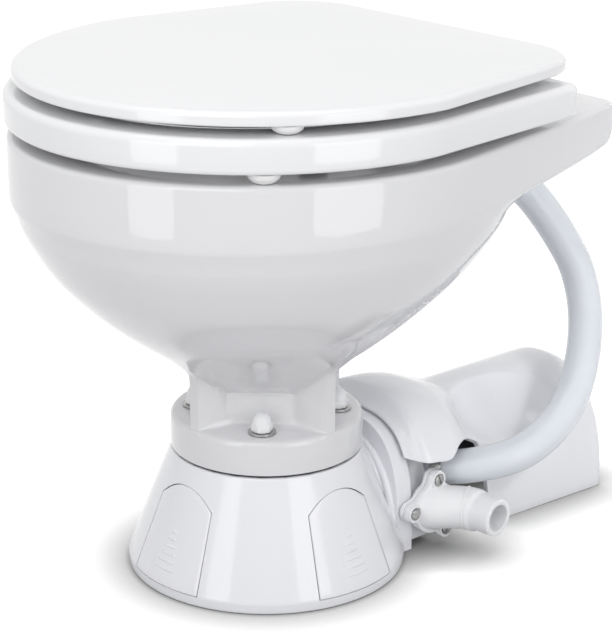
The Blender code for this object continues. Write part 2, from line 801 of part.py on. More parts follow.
def bowl_rings():
    top = top_outline()
    top_reach = {angle: reach_of(top, angle) for angle in bowl_angles()}
    deck_run = DECK_REAR + RIM_FRONT

    def skirt_foot(angle):
        y = top_reach[angle] * math.sin(angle)
        return RIM_TOP - SKIRT_DROP + SKIRT_RISE * ((y + RIM_FRONT) / deck_run) ** 2

    def fillet_reach(angle):
        waist = pedestal_reach(angle)
        return min(waist + PEDESTAL_FILLET, max(FLANGE_RADIUS - FLANGE_EDGE, waist))

    rings = [
        ring_at(FLANGE_RADIUS, FLANGE_BOTTOM),
        ring_at(FLANGE_RADIUS, FLANGE_TOP - FLANGE_EDGE),
        ring_at(flange_reach(FLANGE_EDGE / 3), FLANGE_TOP - FLANGE_EDGE / 3),
        ring_at(flange_reach(FLANGE_EDGE), FLANGE_TOP),
        ring_at(fillet_reach, FLANGE_TOP + GAP),
        ring_at(pedestal_reach, FLANGE_TOP + PEDESTAL_FILLET),
        ring_at(pedestal_reach, FLANGE_TOP + PEDESTAL_STRAIGHT),
    ]
    levels = list(zip(BODY_HEIGHT_SHARES, BODY_FRONT_SHARES, BODY_REAR_SHARES))
    body_rise = BODY_TOP - BODY_BOTTOM
    for height_share, front_share, rear_share in levels:
        outline = body_outline(front_share, rear_share)
        z = BODY_BOTTOM + body_rise * height_share

        def reach(angle, outline=outline):
            return smooth_max(reach_of(outline, angle), pedestal_reach(angle), PEDESTAL_BLEND)

        rings.append(ring_at(reach, z))
    widest = body_outline(BODY_FRONT_SHARES[-1], BODY_REAR_SHARES[-1])
    widest_reach = {angle: reach_of(widest, angle) for angle in bowl_angles()}

    def underside(angle):
        return max(top_reach[angle] - SKIRT_EDGE, widest_reach[angle])

    rings += [
        ring_at(underside, lambda angle: skirt_foot(angle) + GAP),
        ring_at(lambda angle: top_reach[angle], lambda angle: skirt_foot(angle) + SKIRT_EDGE),
        ring_at(lambda angle: top_reach[angle], RIM_TOP - RIM_EDGE),
        ring_at(lambda angle: top_reach[angle] - RIM_EDGE / 3, RIM_TOP - RIM_EDGE / 3),
        ring_at(lambda angle: top_reach[angle] - RIM_EDGE, RIM_TOP),
    ]
    powers = (BODY_FRONT_POWER, BODY_REAR_POWER)
    angles = turn_angles(4 * PLATE_SIDES)
    mouth = [oval(angle, MOUTH_HALF_WIDTH, MOUTH_FRONT, MOUTH_REAR, powers) for angle in angles]
    mouth_reach = {angle: reach_of(mouth, angle) for angle in bowl_angles()}
    rings += [
        ring_at(lambda angle: mouth_reach[angle] + RIM_EDGE, RIM_TOP),
        ring_at(lambda angle: mouth_reach[angle], RIM_TOP - RIM_EDGE),
        ring_at(lambda angle: mouth_reach[angle], RIM_TOP - LIP_DEPTH),
        ring_at(lambda angle: widest_reach[angle] - BOWL_WALL, RIM_TOP - LIP_DEPTH - LIP_SLOPE),
    ]
    for height_share, front_share, rear_share in levels[:1:-1]:
        outline = body_outline(front_share, rear_share)
        z = BODY_BOTTOM + body_rise * height_share

        def inner(angle, outline=outline):
            return reach_of(outline, angle) - BOWL_WALL

        rings.append(ring_at(inner, z))
    rings += [
        ring_at(THROAT_RADIUS, BODY_BOTTOM + PEDESTAL_FILLET),
        ring_at(THROAT_RADIUS, FLANGE_BOTTOM),
    ]
    return rings


def spud_axis():
    direction = Vector((0, math.cos(SPUD_TILT), -math.sin(SPUD_TILT)))
    return Vector((0, SPUD_BOSS_Y, SPUD_BOSS_Z)), direction


def add_bowl(looks):
    ceramic = looks["ceramic"]
    bowl = lofted("bowl", bowl_rings(), ceramic, closed=True)
    face, outwards = spud_axis()
    fuse(bowl, rod("boss", SPUD_BOSS_RADIUS, face - outwards * SPUD_BOSS_DEPTH, face, ceramic))
    cut(
        bowl,
        rod("inlet", SPUD_HOLE_RADIUS, face - outwards * SPUD_HOLE_DEPTH, face + outwards * OVERRUN, ceramic, COARSE),
    )
    for place in stud_places(0):
        low = place + ALONG_Z * (FLANGE_BOTTOM - OVERRUN)
        high = place + ALONG_Z * (FLANGE_TOP + OVERRUN)
        cut(bowl, rod("hole", STUD_RADIUS + HOLE_CLEARANCE, low, high, ceramic, COARSE))
    nut_seat = RIM_TOP - DECK_SEAT_HEIGHT
    for side in (-1, 1):
        spot = Vector((side * HINGE_X, HINGE_Y, 0))
        pocket = rod(
            "pocket", DECK_POCKET_RADIUS, spot + ALONG_Z * (BODY_TOP - OVERRUN), spot + ALONG_Z * nut_seat, ceramic
        )
        hole = rod(
            "hole",
            HINGE_BOLT_RADIUS + HOLE_CLEARANCE,
            spot + ALONG_Z * (nut_seat - OVERRUN),
            spot + ALONG_Z * (RIM_TOP + OVERRUN),
            ceramic,
            COARSE,
        )
        cut(bowl, pocket, hole)
    return bowl


def add_bowl_fixings(looks):
    gasket = tube(
        "bowl_gasket", FLANGE_RADIUS - GASKET_INSET, SUMP_RADIUS + GAP, GASKET_THICKNESS, looks["rubber"], FINE
    )
    gasket.location = (0, 0, BASE_HEIGHT + GAP)
    for place in stud_places(BASE_HEIGHT):
        low, high = place - ALONG_Z * OVERRUN, place + ALONG_Z * (GASKET_THICKNESS + OVERRUN)
        cut(gasket, rod("hole", STUD_RADIUS + HOLE_CLEARANCE, low, high, looks["rubber"], COARSE))
    stud = rod("bowl_stud", STUD_RADIUS, (0, 0, 0), (0, 0, STUD_TOP - STUD_FOOT), looks["steel"], COARSE)
    copies(stud, stud_places(STUD_FOOT))
    washer = tube("bowl_washer", WASHER_RADIUS, around(STUD_RADIUS), WASHER_THICKNESS, looks["steel"], COARSE)
    washer_z = FLANGE_TOP + GAP
    copies(washer, stud_places(washer_z))
    nut_z = washer_z + WASHER_THICKNESS + GAP
    hexagon = [(NUT_RADIUS * math.cos(angle), NUT_RADIUS * math.sin(angle)) for angle in turn_angles(6)]
    nut = prism("bowl_nut", hexagon, "Z", 0, NUT_HEX_HEIGHT, looks["nylon"])
    flat_radius = NUT_RADIUS * math.cos(math.pi / 6) - GAP
    dome_profile = [(0, NUT_HEX_HEIGHT / 2), (flat_radius, NUT_HEX_HEIGHT / 2), (flat_radius, NUT_HEX_HEIGHT)]
    for share in NUT_DOME_SHARES:
        radius = flat_radius * math.sqrt(1 - share**2)
        dome_profile.append((radius, NUT_HEX_HEIGHT + NUT_DOME_HEIGHT * share))
    dome_profile.append((0, NUT_HEX_HEIGHT + NUT_DOME_HEIGHT))
    fuse(nut, turned("dome", dome_profile, looks["nylon"], steps=COARSE))
    hole_depth = STUD_TOP - nut_z + GAP
    cut(nut, rod("hole", around(STUD_RADIUS), (0, 0, -OVERRUN), (0, 0, hole_depth), looks["nylon"], COARSE))
    copies(nut, stud_places(nut_z))


# Seat, lid and hinges


def plate_outline(sizes):
    """Plan outline of the seat or the lid: an oval front, drawn straight back to two round corners."""
    half_width, front, middle, rear_half_width, rear, corner = sizes
    powers = (PLATE_POWER, PLATE_POWER)
    points = [oval(angle, half_width, front, rear / 2, powers, middle) for angle in turn_angles(4 * PLATE_SIDES)]
    for side in (-1, 1):
        for angle in turn_angles(4 * CORNER_SIDES):
            x = side * (rear_half_width - corner) + corner * math.cos(angle)
            points.append((x, rear - corner + corner * math.sin(angle)))
    return hull(points)


def plate_angles(sizes):
    """Steps that catch a plate's rear corners, with even steps between them."""
    *_, rear_half_width, rear, corner = sizes
    caught = []
    for k in range(CORNER_SIDES + 1):
        turn = math.pi / 2 * k / CORNER_SIDES
        x = rear_half_width - corner + corner * math.cos(turn)
        y = rear - corner + corner * math.sin(turn)
        caught += [math.atan2(y, x), math.pi - math.atan2(y, x)]
    near = math.pi / PLATE_SIDES
    return sorted(caught + [angle for angle in turn_angles() if all(abs(angle - other) > near for other in caught)])


def plate_rings(sizes, bottom, thickness, shares):
    edge = plate_outline(sizes)
    outline = []
    for angle in plate_angles(sizes):
        reach = reach_of(edge, angle)
        outline.append((reach * math.cos(angle), reach * math.sin(angle)))
    rings = []
    for inset_share, height_share in shares:
        ring = inset_outline(outline, inset_share * thickness)
        rings.append([Vector((point.x, point.y, bottom + height_share * thickness)) for point in ring])
    return rings


def add_seat(looks):
    enamel = looks["enamel"]
    plan = (SEAT_HALF_WIDTH, SEAT_FRONT, SEAT_MIDDLE, SEAT_REAR_HALF_WIDTH, SEAT_REAR, SEAT_CORNER)
    rings = plate_rings(plan, SEAT_BOTTOM, SEAT_THICKNESS, SEAT_EDGE_SHARES)
    powers = (BODY_FRONT_POWER, BODY_REAR_POWER)
    for inset_share, height_share in SEAT_LIP_SHARES:
        grown = inset_share * SEAT_THICKNESS
        z = SEAT_BOTTOM + height_share * SEAT_THICKNESS
        sizes = (SEAT_HOLE_HALF_WIDTH + grown, SEAT_HOLE_FRONT + grown, SEAT_HOLE_REAR + grown)
        rings.append([Vector((*oval(angle, *sizes, powers), z)) for angle in plate_angles(plan)])
    seat = lofted("seat", rings, enamel, closed=True)
    bump = turned("seat_bumper", bumper_profile(SEAT_BUMPER_RADIUS, SEAT_BUMPER_HEIGHT - GAP), looks["bumper"])
    bump_z = RIM_TOP + GAP
    wide, ahead = SEAT_BUMPER_FRONT_SHARES
    pairs = [(wide * RIM_HALF_WIDTH, -ahead * RIM_FRONT)]
    wide, behind = SEAT_BUMPER_BACK_SHARES
    pairs.append((wide * RIM_HALF_WIDTH, behind * RIM_REAR))
    spots = [(side * x, y, bump_z) for x, y in pairs for side in (1, -1)]
    bumpers = copies(bump, spots)
    inner = HINGE_X - POST_WIDTH / 2 - LUG_GAP - LUG_WIDTH
    for side in (-1, 1):
        lug = add_lug(side, inner, SEAT_REAR - LUG_REACH, PINS_Z - SEAT_LUG_DEPTH, PINS_Z, enamel)
        fuse(seat, lug)
    drill_pin_holes(seat, enamel)
    carry([seat, *bumpers], "seat_axis", (0, HINGE_Y, PINS_Z))


def bumper_profile(radius, height):
    edge = BUMPER_EDGE
    return [(0, 0), (radius - edge, 0), (radius, edge), (radius, height), (0, height)]


def add_lug(side, inner, front_y, low, high, look):
    """An arm from a plate's rear edge, with a round knuckle on the pins' axis."""
    x_low, x_high = sorted((side * inner, side * (inner + LUG_WIDTH)))
    knuckle = rod("knuckle", KNUCKLE_RADIUS, (x_low, HINGE_Y, PINS_Z), (x_high, HINGE_Y, PINS_Z), look, COARSE)
    arm = block("arm", (x_low, front_y, low), (x_high, HINGE_Y, high), look)
    return fuse(arm, knuckle)


def drill_pin_holes(plate, look):
    reach = HINGE_X + POST_WIDTH + LUG_WIDTH + LUG_GAP + OVERRUN
    near = HINGE_X - POST_WIDTH - LUG_WIDTH - LUG_GAP - OVERRUN
    for side in (-1, 1):
        start, end = (side * near, HINGE_Y, PINS_Z), (side * reach, HINGE_Y, PINS_Z)
        cut(plate, rod("hole", around(PIN_RADIUS), start, end, look, COARSE))


def add_lid(looks):
    enamel = looks["enamel"]
    plan = (LID_HALF_WIDTH, LID_FRONT, LID_MIDDLE, LID_REAR_HALF_WIDTH, LID_REAR, LID_CORNER)
    rings = plate_rings(plan, LID_BOTTOM, LID_THICKNESS, LID_EDGE_SHARES)
    crown = []
    for point in rings[-1]:
        crown.append(Vector((point.x / 2, point.y / 2, LID_BOTTOM + LID_THICKNESS + LID_CROWN)))
    rings.append(crown)
    lid = lofted("lid", rings, enamel)
    bump = turned("lid_bumper", bumper_profile(LID_BUMPER_RADIUS, LID_BUMPER_HEIGHT - GAP), looks["bumper"])
    x, y = LID_BUMPER_SHARES[0] * SEAT_HALF_WIDTH, -LID_BUMPER_SHARES[1] * SEAT_FRONT
    bumpers = copies(bump, [(side * x, y, SEAT_TOP + GAP) for side in (1, -1)])
    inner = HINGE_X + POST_WIDTH / 2 + LUG_GAP
    lug_low = PINS_Z + RUNNING_GAP
    for side in (-1, 1):
        arm = add_lug(side, inner, LID_REAR - LUG_REACH, lug_low, lug_low + LID_LUG_HEIGHT, enamel)
        fuse(lid, arm)
    drill_pin_holes(lid, enamel)
    carry([lid, *bumpers], "lid_axis", (0, HINGE_Y, PINS_Z))


def add_hinges(looks):
    bolt_top = RIM_TOP + HINGE_BOLT_GRIP
    nut_top = RIM_TOP - DECK_SEAT_HEIGHT - GAP
    for side, word in ((-1, "left"), (1, "right")):
        spot = Vector((side * HINGE_X, HINGE_Y, 0))
        foot_low, foot_high = RIM_TOP + GAP, RIM_TOP + GAP + POST_FOOT_HEIGHT
        post = rod(
            f"hinge_post_{word}", POST_FOOT_RADIUS, (0, 0, 0), (0, 0, POST_FOOT_HEIGHT), looks["nylon"], MEDIUM
        )
        post.location = spot + ALONG_Z * foot_low
        half = POST_WIDTH / 2
        x_low, x_high = spot.x - half, spot.x + half
        stem = block(
            "stem",
            (x_low, HINGE_Y - POST_DEPTH / 2, foot_high - OVERRUN),
            (x_high, HINGE_Y + POST_DEPTH / 2, PINS_Z),
            looks["nylon"],
        )
        eye = rod("eye", KNUCKLE_RADIUS, (x_low, HINGE_Y, PINS_Z), (x_high, HINGE_Y, PINS_Z), looks["nylon"], COARSE)
        fuse(post, stem, eye)
        pin_hole = rod(
            "hole",
            around(PIN_RADIUS),
            (x_low - OVERRUN, HINGE_Y, PINS_Z),
            (x_high + OVERRUN, HINGE_Y, PINS_Z),
            looks["nylon"],
            COARSE,
        )
        bolt_hole = rod(
            "hole",
            around(HINGE_BOLT_RADIUS),
            spot + ALONG_Z * (RIM_TOP - OVERRUN),
            spot + ALONG_Z * (bolt_top + GAP),
            looks["nylon"],
            COARSE,
        )
        cut(post, pin_hole, bolt_hole)
        reach = POST_WIDTH / 2 + LUG_GAP + LUG_WIDTH
        pin = rod(f"hinge_pin_{word}", PIN_RADIUS, (0, 0, 0), (2 * reach, 0, 0), looks["steel"], COARSE)
        pin.location = spot + ALONG_Z * PINS_Z - ALONG_X * reach
        bolt = rod(
            f"hinge_bolt_{word}", HINGE_BOLT_RADIUS, (0, 0, 0), (0, 0, HINGE_BOLT_LENGTH), looks["steel"], COARSE
        )
        bolt.location = spot + ALONG_Z * (bolt_top - HINGE_BOLT_LENGTH)
        nut = tube(
            f"hinge_nut_{word}",
            WING_NUT_RADIUS,
            around(HINGE_BOLT_RADIUS),
            WING_NUT_HEIGHT,
            looks["nylon"],
            COARSE,
        )
        nut.location = spot + ALONG_Z * (nut_top - WING_NUT_HEIGHT)
        for way in (-1, 1):
            near, far = sorted((spot.x + way * WING_ROOT, spot.x + way * WING_SPAN))
            wing = block(
                "wing",
                (near, HINGE_Y - WING_THICKNESS / 2, nut_top - 2 * WING_NUT_HEIGHT),
                (far, HINGE_Y + WING_THICKNESS / 2, nut_top - WING_THICKNESS),
                looks["nylon"],
            )
            fuse(nut, wing)


# Macerator and rinse pump


def on_axis(y):
    return Vector((0, y, PUMP_AXIS_HEIGHT))


def axial(name, profile, start, look, closed=False, steps=MEDIUM):
    """A turned piece on the pump's axis, its heights measured back from start."""
    return point_along(turned(name, profile, look, closed=closed, steps=steps), on_axis(start), ALONG_Y)


def axial_ring(name, outer, inner, start, length, look, steps=MEDIUM):
    return point_along(tube(name, outer, inner, length, look, steps), on_axis(start), ALONG_Y)


def flange_lobes():
    """Directions of the three screws around the discharge port, in the Y-Z plane."""
    return [(math.cos(turn), math.sin(turn)) for turn in FLANGE_SCREW_ANGLES]


def three_lobes(name, start, length, look):
    """A three-lobed plate around the discharge port, facing +X."""
    outline = []
    for angle in turn_angles(LOBE_SIDES):
        reach = FLANGE_DISC_RADIUS
        for across, up in flange_lobes():
            ahead = FLANGE_SCREW_CIRCLE * (across * math.cos(angle) + up * math.sin(angle))
            aside = FLANGE_SCREW_CIRCLE * (across * math.sin(angle) - up * math.cos(angle))
            if ahead > 0 and abs(aside) < FLANGE_LOBE_RADIUS:
                reach = max(reach, ahead + math.sqrt(FLANGE_LOBE_RADIUS**2 - aside**2))
        outline.append((PORT_Y + reach * math.cos(angle), PORT_Z + reach * math.sin(angle)))
    return prism(name, outline, "X", start, length, look)


def port_screw_holes(body, start, end, radius, look):
    for across, up in flange_lobes():
        y, z = PORT_Y + FLANGE_SCREW_CIRCLE * across, PORT_Z + FLANGE_SCREW_CIRCLE * up
        cut(body, rod("hole", radius, (start, y, z), (end, y, z), look, COARSE))


def add_macerator(looks):
    plastic = looks["plastic"]
    ends = (HOUSING_FRONT, HOUSING_BACK)
    sides = (HOUSING_HALF_WIDTH, HOUSING_HALF_WIDTH)
    sections = [arch(y, *sides, HOUSING_HEIGHT, HOUSING_POWER, HOUSING_FOOT) for y in ends]
    housing = lofted("macerator_housing", sections, plastic)
    pad_start = PORT_FACE_X - PORT_PAD
    core_start, core_end = (PORT_CORE_START, PORT_Y, PORT_Z), (pad_start + GAP, PORT_Y, PORT_Z)
    fuse(
        housing,
        rod("core", PORT_CORE_RADIUS, core_start, core_end, plastic),
        three_lobes("pad", pad_start, PORT_PAD, plastic),
    )
    chamber_end = HOUSING_BACK - HOUSING_BACK_WALL
    throat_start = (PORT_THROAT_START, PORT_Y, PORT_Z)
    throat_end = (PORT_CORE_START + OVERRUN, PORT_Y, PORT_Z)
    port_start = (PORT_CORE_START + GAP, PORT_Y, PORT_Z)
    cut(
        housing,
        rod("chamber", CHAMBER_RADIUS, on_axis(HOUSING_FRONT - OVERRUN), on_axis(chamber_end), plastic, FINE),
        rod(
            "recess",
            around(CHOPPER_PLATE_RADIUS, FINE),
            on_axis(HOUSING_FRONT - OVERRUN),
            on_axis(HOUSING_FRONT + CHOPPER_PLATE_THICKNESS + GAP),
            plastic,
            FINE,
        ),
        rod(
            "seal",
            around(SEAL_RADIUS, MEDIUM),
            on_axis(chamber_end - OVERRUN),
            on_axis(HOUSING_BACK + OVERRUN),
            plastic,
        ),
        rod("throat", PORT_THROAT_RADIUS, throat_start, throat_end, plastic, COARSE),
        rod("port", PORT_RADIUS, port_start, (PORT_FACE_X + OVERRUN, PORT_Y, PORT_Z), plastic),
    )
    pilot_end = PORT_FACE_X + FLANGE_THICKNESS - SCREW_LENGTH - GAP
    port_screw_holes(housing, pilot_end, PORT_FACE_X + OVERRUN, around(SCREW_SHANK_RADIUS), plastic)

    plate_y = HOUSING_FRONT + GAP
    steel = looks["steel"]
    hole = SHAFT_RADIUS + RUNNING_GAP
    plate = axial_ring("chopper_plate", CHOPPER_PLATE_RADIUS, hole, plate_y, CHOPPER_PLATE_THICKNESS, steel, FINE)
    for angle in turn_angles(CHOPPER_HOLES):
        offset = Vector((math.cos(angle), 0, math.sin(angle))) * CHOPPER_HOLE_CIRCLE
        low = on_axis(plate_y - OVERRUN) + offset
        high = on_axis(plate_y + CHOPPER_PLATE_THICKNESS + OVERRUN) + offset
        cut(plate, rod("hole", CHOPPER_HOLE_RADIUS, low, high, steel, COARSE))

    seal_length = HOUSING_BACK_WALL - 2 * GAP
    seal_start = chamber_end + GAP
    axial_ring("shaft_seal", SEAL_RADIUS, SHAFT_RADIUS + RUNNING_GAP, seal_start, seal_length, looks["rubber"])


def add_rinse_pump(looks):
    plastic = looks["plastic"]
    wall = RINSE_WALL
    body = rod("rinse_pump_body", RINSE_RADIUS, on_axis(RINSE_FRONT), on_axis(RINSE_BACK), plastic, MEDIUM)
    start, direction = hose_ends()[0]
    knee = start - direction * SPOUT_COLLAR
    root = Vector((RINSE_CHAMBER_RADIUS, knee.y, knee.z))
    tip = start + direction * SPOUT_LENGTH
    intake_y = (RINSE_FRONT + RINSE_BACK) / 2
    intake_start = Vector((-RINSE_CHAMBER_RADIUS - wall, intake_y, PUMP_AXIS_HEIGHT))
    intake_end = intake_start - ALONG_X * INTAKE_LENGTH
    intake_collar = intake_start - ALONG_X * INTAKE_LENGTH / 2
    fuse(
        body,
        rod("root", SPOUT_RADIUS, root, knee, plastic, COARSE),
        ball("knee", SPOUT_RADIUS, knee, plastic, COARSE),
        rod("collar", SPOUT_COLLAR_RADIUS, knee, start - direction * GAP, plastic, MEDIUM),
        rod("spout", SPOUT_RADIUS, start - direction * OVERRUN, tip, plastic, COARSE),
        rod("intake_collar", SPOUT_COLLAR_RADIUS, intake_start, intake_collar, plastic, COARSE),
        rod("intake", SPOUT_RADIUS, intake_start, intake_end, plastic, FINE),
    )
    front, back = on_axis(RINSE_FRONT - OVERRUN), on_axis(RINSE_BACK + OVERRUN)
    cut(
        body,
        rod("root_bore", SPOUT_BORE, root - ALONG_X * wall, knee, plastic, COARSE),
        ball("knee_bore", SPOUT_BORE, knee, plastic, COARSE),
        rod("bore", SPOUT_BORE, knee, tip + direction * OVERRUN, plastic, COARSE),
        rod(
            "intake_bore",
            SPOUT_BORE,
            intake_start + ALONG_X * 2 * wall,
            intake_end - ALONG_X * OVERRUN,
            plastic,
            COARSE,
        ),
        rod("chamber", RINSE_CHAMBER_RADIUS, on_axis(RINSE_FRONT + wall), back, plastic, MEDIUM),
        rod("shaft_hole", SHAFT_RADIUS + RUNNING_GAP, front, back, plastic, COARSE),
    )


def vanes(hub, count, radius, start, width, thickness, look):
    """Fuses straight vanes onto a hub on the pump's axis."""
    for number in range(count):
        angle = 2 * math.pi * number / count
        out = Vector((math.cos(angle), 0, math.sin(angle)))
        side = Vector((-out.z, 0, out.x)) * thickness / 2
        root = on_axis(start) + out * SHAFT_RADIUS
        tip = on_axis(start) + out * radius
        ring = [root - side, tip - side, tip + side, root + side]
        back = [point + ALONG_Y * width for point in ring]
        fuse(hub, lofted("vane", [ring, back], look))
    return hub


def bore_through(piece, radius, look):
    """Opens a turned piece along the whole pump axis."""
    return cut(piece, rod("bore", radius, on_axis(NECK_FRONT), on_axis(MOTOR_BACK), look, COARSE))


def add_rotor(looks):
    steel = looks["steel"]
    nose_y = HOUSING_FRONT - SHAFT_NOSE
    shaft_end = MOTOR_BACK + GAP + BEARING_WIDTH
    shaft = rod("motor_shaft", SHAFT_RADIUS, on_axis(nose_y), on_axis(shaft_end), steel, COARSE)
    hub_inner = SHAFT_RADIUS + GAP
    blade_end = HOUSING_FRONT - BLADE_STANDOFF
    blade_start = blade_end - BLADE_THICKNESS
    blade_hub = [(0, 0), (BLADE_HUB_RADIUS, 0), (BLADE_HUB_RADIUS, BLADE_THICKNESS), (0, BLADE_THICKNESS)]
    blade = axial("macerator_blade", blade_hub, blade_start, steel, steps=COARSE)
    vanes(blade, 2, BLADE_RADIUS, blade_start, BLADE_THICKNESS, BLADE_WIDTH, steel)
    bore_through(blade, hub_inner, steel)

    nylon = looks["nylon"]
    wheel_length = IMPELLER_DISC + IMPELLER_VANE
    wheel = [
        (0, 0),
        (IMPELLER_RADIUS, 0),
        (IMPELLER_RADIUS, IMPELLER_DISC),
        (HUB_RADIUS, IMPELLER_DISC),
        (HUB_RADIUS, wheel_length),
        (0, wheel_length),
    ]
    wheel_start = HOUSING_FRONT + IMPELLER_START
    impeller = axial("discharge_impeller", wheel, wheel_start, nylon)
    vane_start = wheel_start + IMPELLER_DISC / 2
    vane_length = wheel_length - IMPELLER_DISC
    vanes(impeller, 5, IMPELLER_RADIUS - GAP, vane_start, vane_length, VANE_THICKNESS, nylon)
    bore_through(impeller, hub_inner, nylon)

    rubber = looks["rubber"]
    star_start = RINSE_FRONT + RINSE_WALL + RUNNING_GAP
    star_hub = [(0, 0), (HUB_RADIUS, 0), (HUB_RADIUS, RINSE_IMPELLER_WIDTH), (0, RINSE_IMPELLER_WIDTH)]
    star = axial("rinse_impeller", star_hub, star_start, rubber, steps=COARSE)
    vanes(star, 6, RINSE_IMPELLER_RADIUS, star_start + GAP, RINSE_IMPELLER_WIDTH - 2 * GAP, VANE_THICKNESS, rubber)
    bore_through(star, hub_inner, rubber)

    core_end = ARMATURE_LENGTH
    neck_end = core_end + BEARING_WIDTH
    profile = [
        (hub_inner, 0),
        (ARMATURE_RADIUS, 0),
        (ARMATURE_RADIUS, core_end),
        (HUB_RADIUS, core_end),
        (HUB_RADIUS, neck_end),
        (COMMUTATOR_RADIUS, neck_end),
        (COMMUTATOR_RADIUS, neck_end + COMMUTATOR_LENGTH),
        (hub_inner, neck_end + COMMUTATOR_LENGTH),
    ]
    armature = axial("armature", profile, MOTOR_FRONT + ARMATURE_START, looks["copper"], closed=True)
    carry([shaft, blade, impeller, star, armature], "rotor_axis", on_axis(MOTOR_FRONT))


def add_motor(looks):
    motor, steel = looks["motor"], looks["steel"]
    pocket = around(BEARING_RADIUS, MEDIUM)
    inner = MOTOR_RADIUS - MOTOR_WALL
    shell = [
        (pocket, 0),
        (MOTOR_RADIUS, 0),
        (MOTOR_RADIUS, MOTOR_LENGTH),
        (inner, MOTOR_LENGTH),
        (inner, MOTOR_PLATE),
        (pocket, MOTOR_PLATE),
    ]
    axial("motor_shell", shell, MOTOR_FRONT, motor, closed=True, steps=FINE)
    bearing_inner = SHAFT_RADIUS + RUNNING_GAP
    axial_ring("front_bearing", BEARING_RADIUS, bearing_inner, MOTOR_FRONT + GAP, BEARING_WIDTH, steel)
    bell_start = MOTOR_BACK + GAP
    pocket_depth = BEARING_WIDTH + 2 * GAP
    bell = [
        (pocket, 0),
        (MOTOR_RADIUS, 0),
        (MOTOR_RADIUS, END_BELL_LENGTH - END_BELL_EDGE),
        (MOTOR_RADIUS - END_BELL_EDGE, END_BELL_LENGTH),
        (0, END_BELL_LENGTH),
        (0, pocket_depth),
        (pocket, pocket_depth),
    ]
    axial("motor_end_bell", bell, bell_start, motor, closed=True, steps=FINE)
    axial_ring("rear_bearing", BEARING_RADIUS, bearing_inner, bell_start, BEARING_WIDTH, steel)
    outer = inner * math.cos(math.pi / FINE) - GAP
    for word, middle in (("upper", math.pi / 2), ("lower", -math.pi / 2)):
        turns = [middle + MAGNET_HALF_ANGLE * (k / 4 - 1) for k in range(9)]
        arc = [(outer * math.cos(turn), outer * math.sin(turn)) for turn in turns]
        arc += [
            ((outer - MAGNET_THICKNESS) * math.cos(turn), (outer - MAGNET_THICKNESS) * math.sin(turn))
            for turn in reversed(turns)
        ]
        start = MOTOR_FRONT + MAGNET_START
        lifted = [(x, z + PUMP_AXIS_HEIGHT) for x, z in arc]
        prism(f"motor_magnet_{word}", lifted, "Y", start, MAGNET_LENGTH, motor)


# Discharge elbow


def elbow_points():
    root = Vector((PORT_FACE_X + GAP, PORT_Y, PORT_Z))
    turn = Vector((math.cos(ELBOW_TURN), math.sin(ELBOW_TURN), 0))
    bend = root + turn * ELBOW_BODY_LENGTH
    tail = Vector((math.cos(ELBOW_TAIL_ANGLE), math.sin(ELBOW_TAIL_ANGLE), 0))
    return root, bend, bend + tail * ELBOW_TAIL_LENGTH, turn, tail


def add_elbow(looks):
    nylon = looks["nylon"]
    root, bend, end, turn, tail = elbow_points()
    elbow = three_lobes("discharge_elbow", root.x, FLANGE_THICKNESS, nylon)
    start = root + ALONG_X * FLANGE_THICKNESS / 2
    fuse(
        elbow,
        rod("root", ELBOW_ROOT_RADIUS, start, root + ALONG_X * ELBOW_ROOT_LENGTH, nylon),
        rod("body", ELBOW_BODY_RADIUS, start, bend, nylon),
        ball("knee", ELBOW_BODY_RADIUS, bend, nylon, COARSE),
        rod("tail", ELBOW_TAIL_RADIUS, bend, end, nylon, FINE),
    )
    trim = block(
        "trim",
        (root.x - ELBOW_BODY_RADIUS, root.y - ELBOW_BODY_LENGTH, 0),
        (root.x, root.y + ELBOW_BODY_LENGTH, 2 * PORT_Z),
        nylon,
    )
    cut(
        elbow,
        trim,
        rod("bore", ELBOW_BODY_BORE, root + ALONG_X * OVERRUN, bend, nylon, COARSE),
        rod("mouth", ELBOW_BODY_BORE, root - ALONG_X * OVERRUN, root + ALONG_X * ELBOW_MOUTH_DEPTH, nylon),
        ball("knee_bore", ELBOW_BODY_BORE, bend, nylon, COARSE),
        rod("tail_bore", ELBOW_TAIL_BORE, bend, end + tail * OVERRUN, nylon),
        rod(
            "recess",
            around(JOKER_RADIUS, MEDIUM),
            root - ALONG_X * OVERRUN,
            root + ALONG_X * (ELBOW_RECESS + GAP),
            nylon,
        ),
    )
    face_x = root.x + FLANGE_THICKNESS
    port_screw_holes(elbow, root.x - OVERRUN, face_x + OVERRUN, around(SCREW_SHANK_RADIUS), nylon)
    port_screw_holes(elbow, face_x, face_x + SCREW_ACCESS, SCREW_ACCESS_RADIUS, nylon)

    slit = JOKER_TIP_RADIUS / 3
    profile = [
        (JOKER_RADIUS, 0),
        (JOKER_RADIUS, ELBOW_RECESS),
        (PORT_RADIUS, ELBOW_RECESS),
        (JOKER_TIP_RADIUS, JOKER_LENGTH),
        (slit, JOKER_LENGTH),
        (PORT_RADIUS - ELBOW_RECESS, 0),
    ]
    joker = turned("joker_valve", profile, looks["rubber"], closed=True)
    point_along(joker, root, ALONG_X)

    head_x = root.x + FLANGE_THICKNESS + GAP
    screw = turned("elbow_screw", screw_profile(), looks["steel"], steps=COARSE)
    slot = block(
        "slot",
        (-SCREW_SLOT / 2, -SCREW_HEAD_RADIUS - OVERRUN, SCREW_HEAD_HEIGHT - SCREW_SLOT),
        (SCREW_SLOT / 2, SCREW_HEAD_RADIUS + OVERRUN, SCREW_HEAD_HEIGHT + OVERRUN),
        looks["steel"],
    )
    cut(screw, slot)
    places = []
    for across, up in flange_lobes():
        y, z = PORT_Y + FLANGE_SCREW_CIRCLE * across, PORT_Z + FLANGE_SCREW_CIRCLE * up
        places.append(Vector((head_x, y, z)))
    point_along(screw, places[0], ALONG_X)
    copies(screw, places)


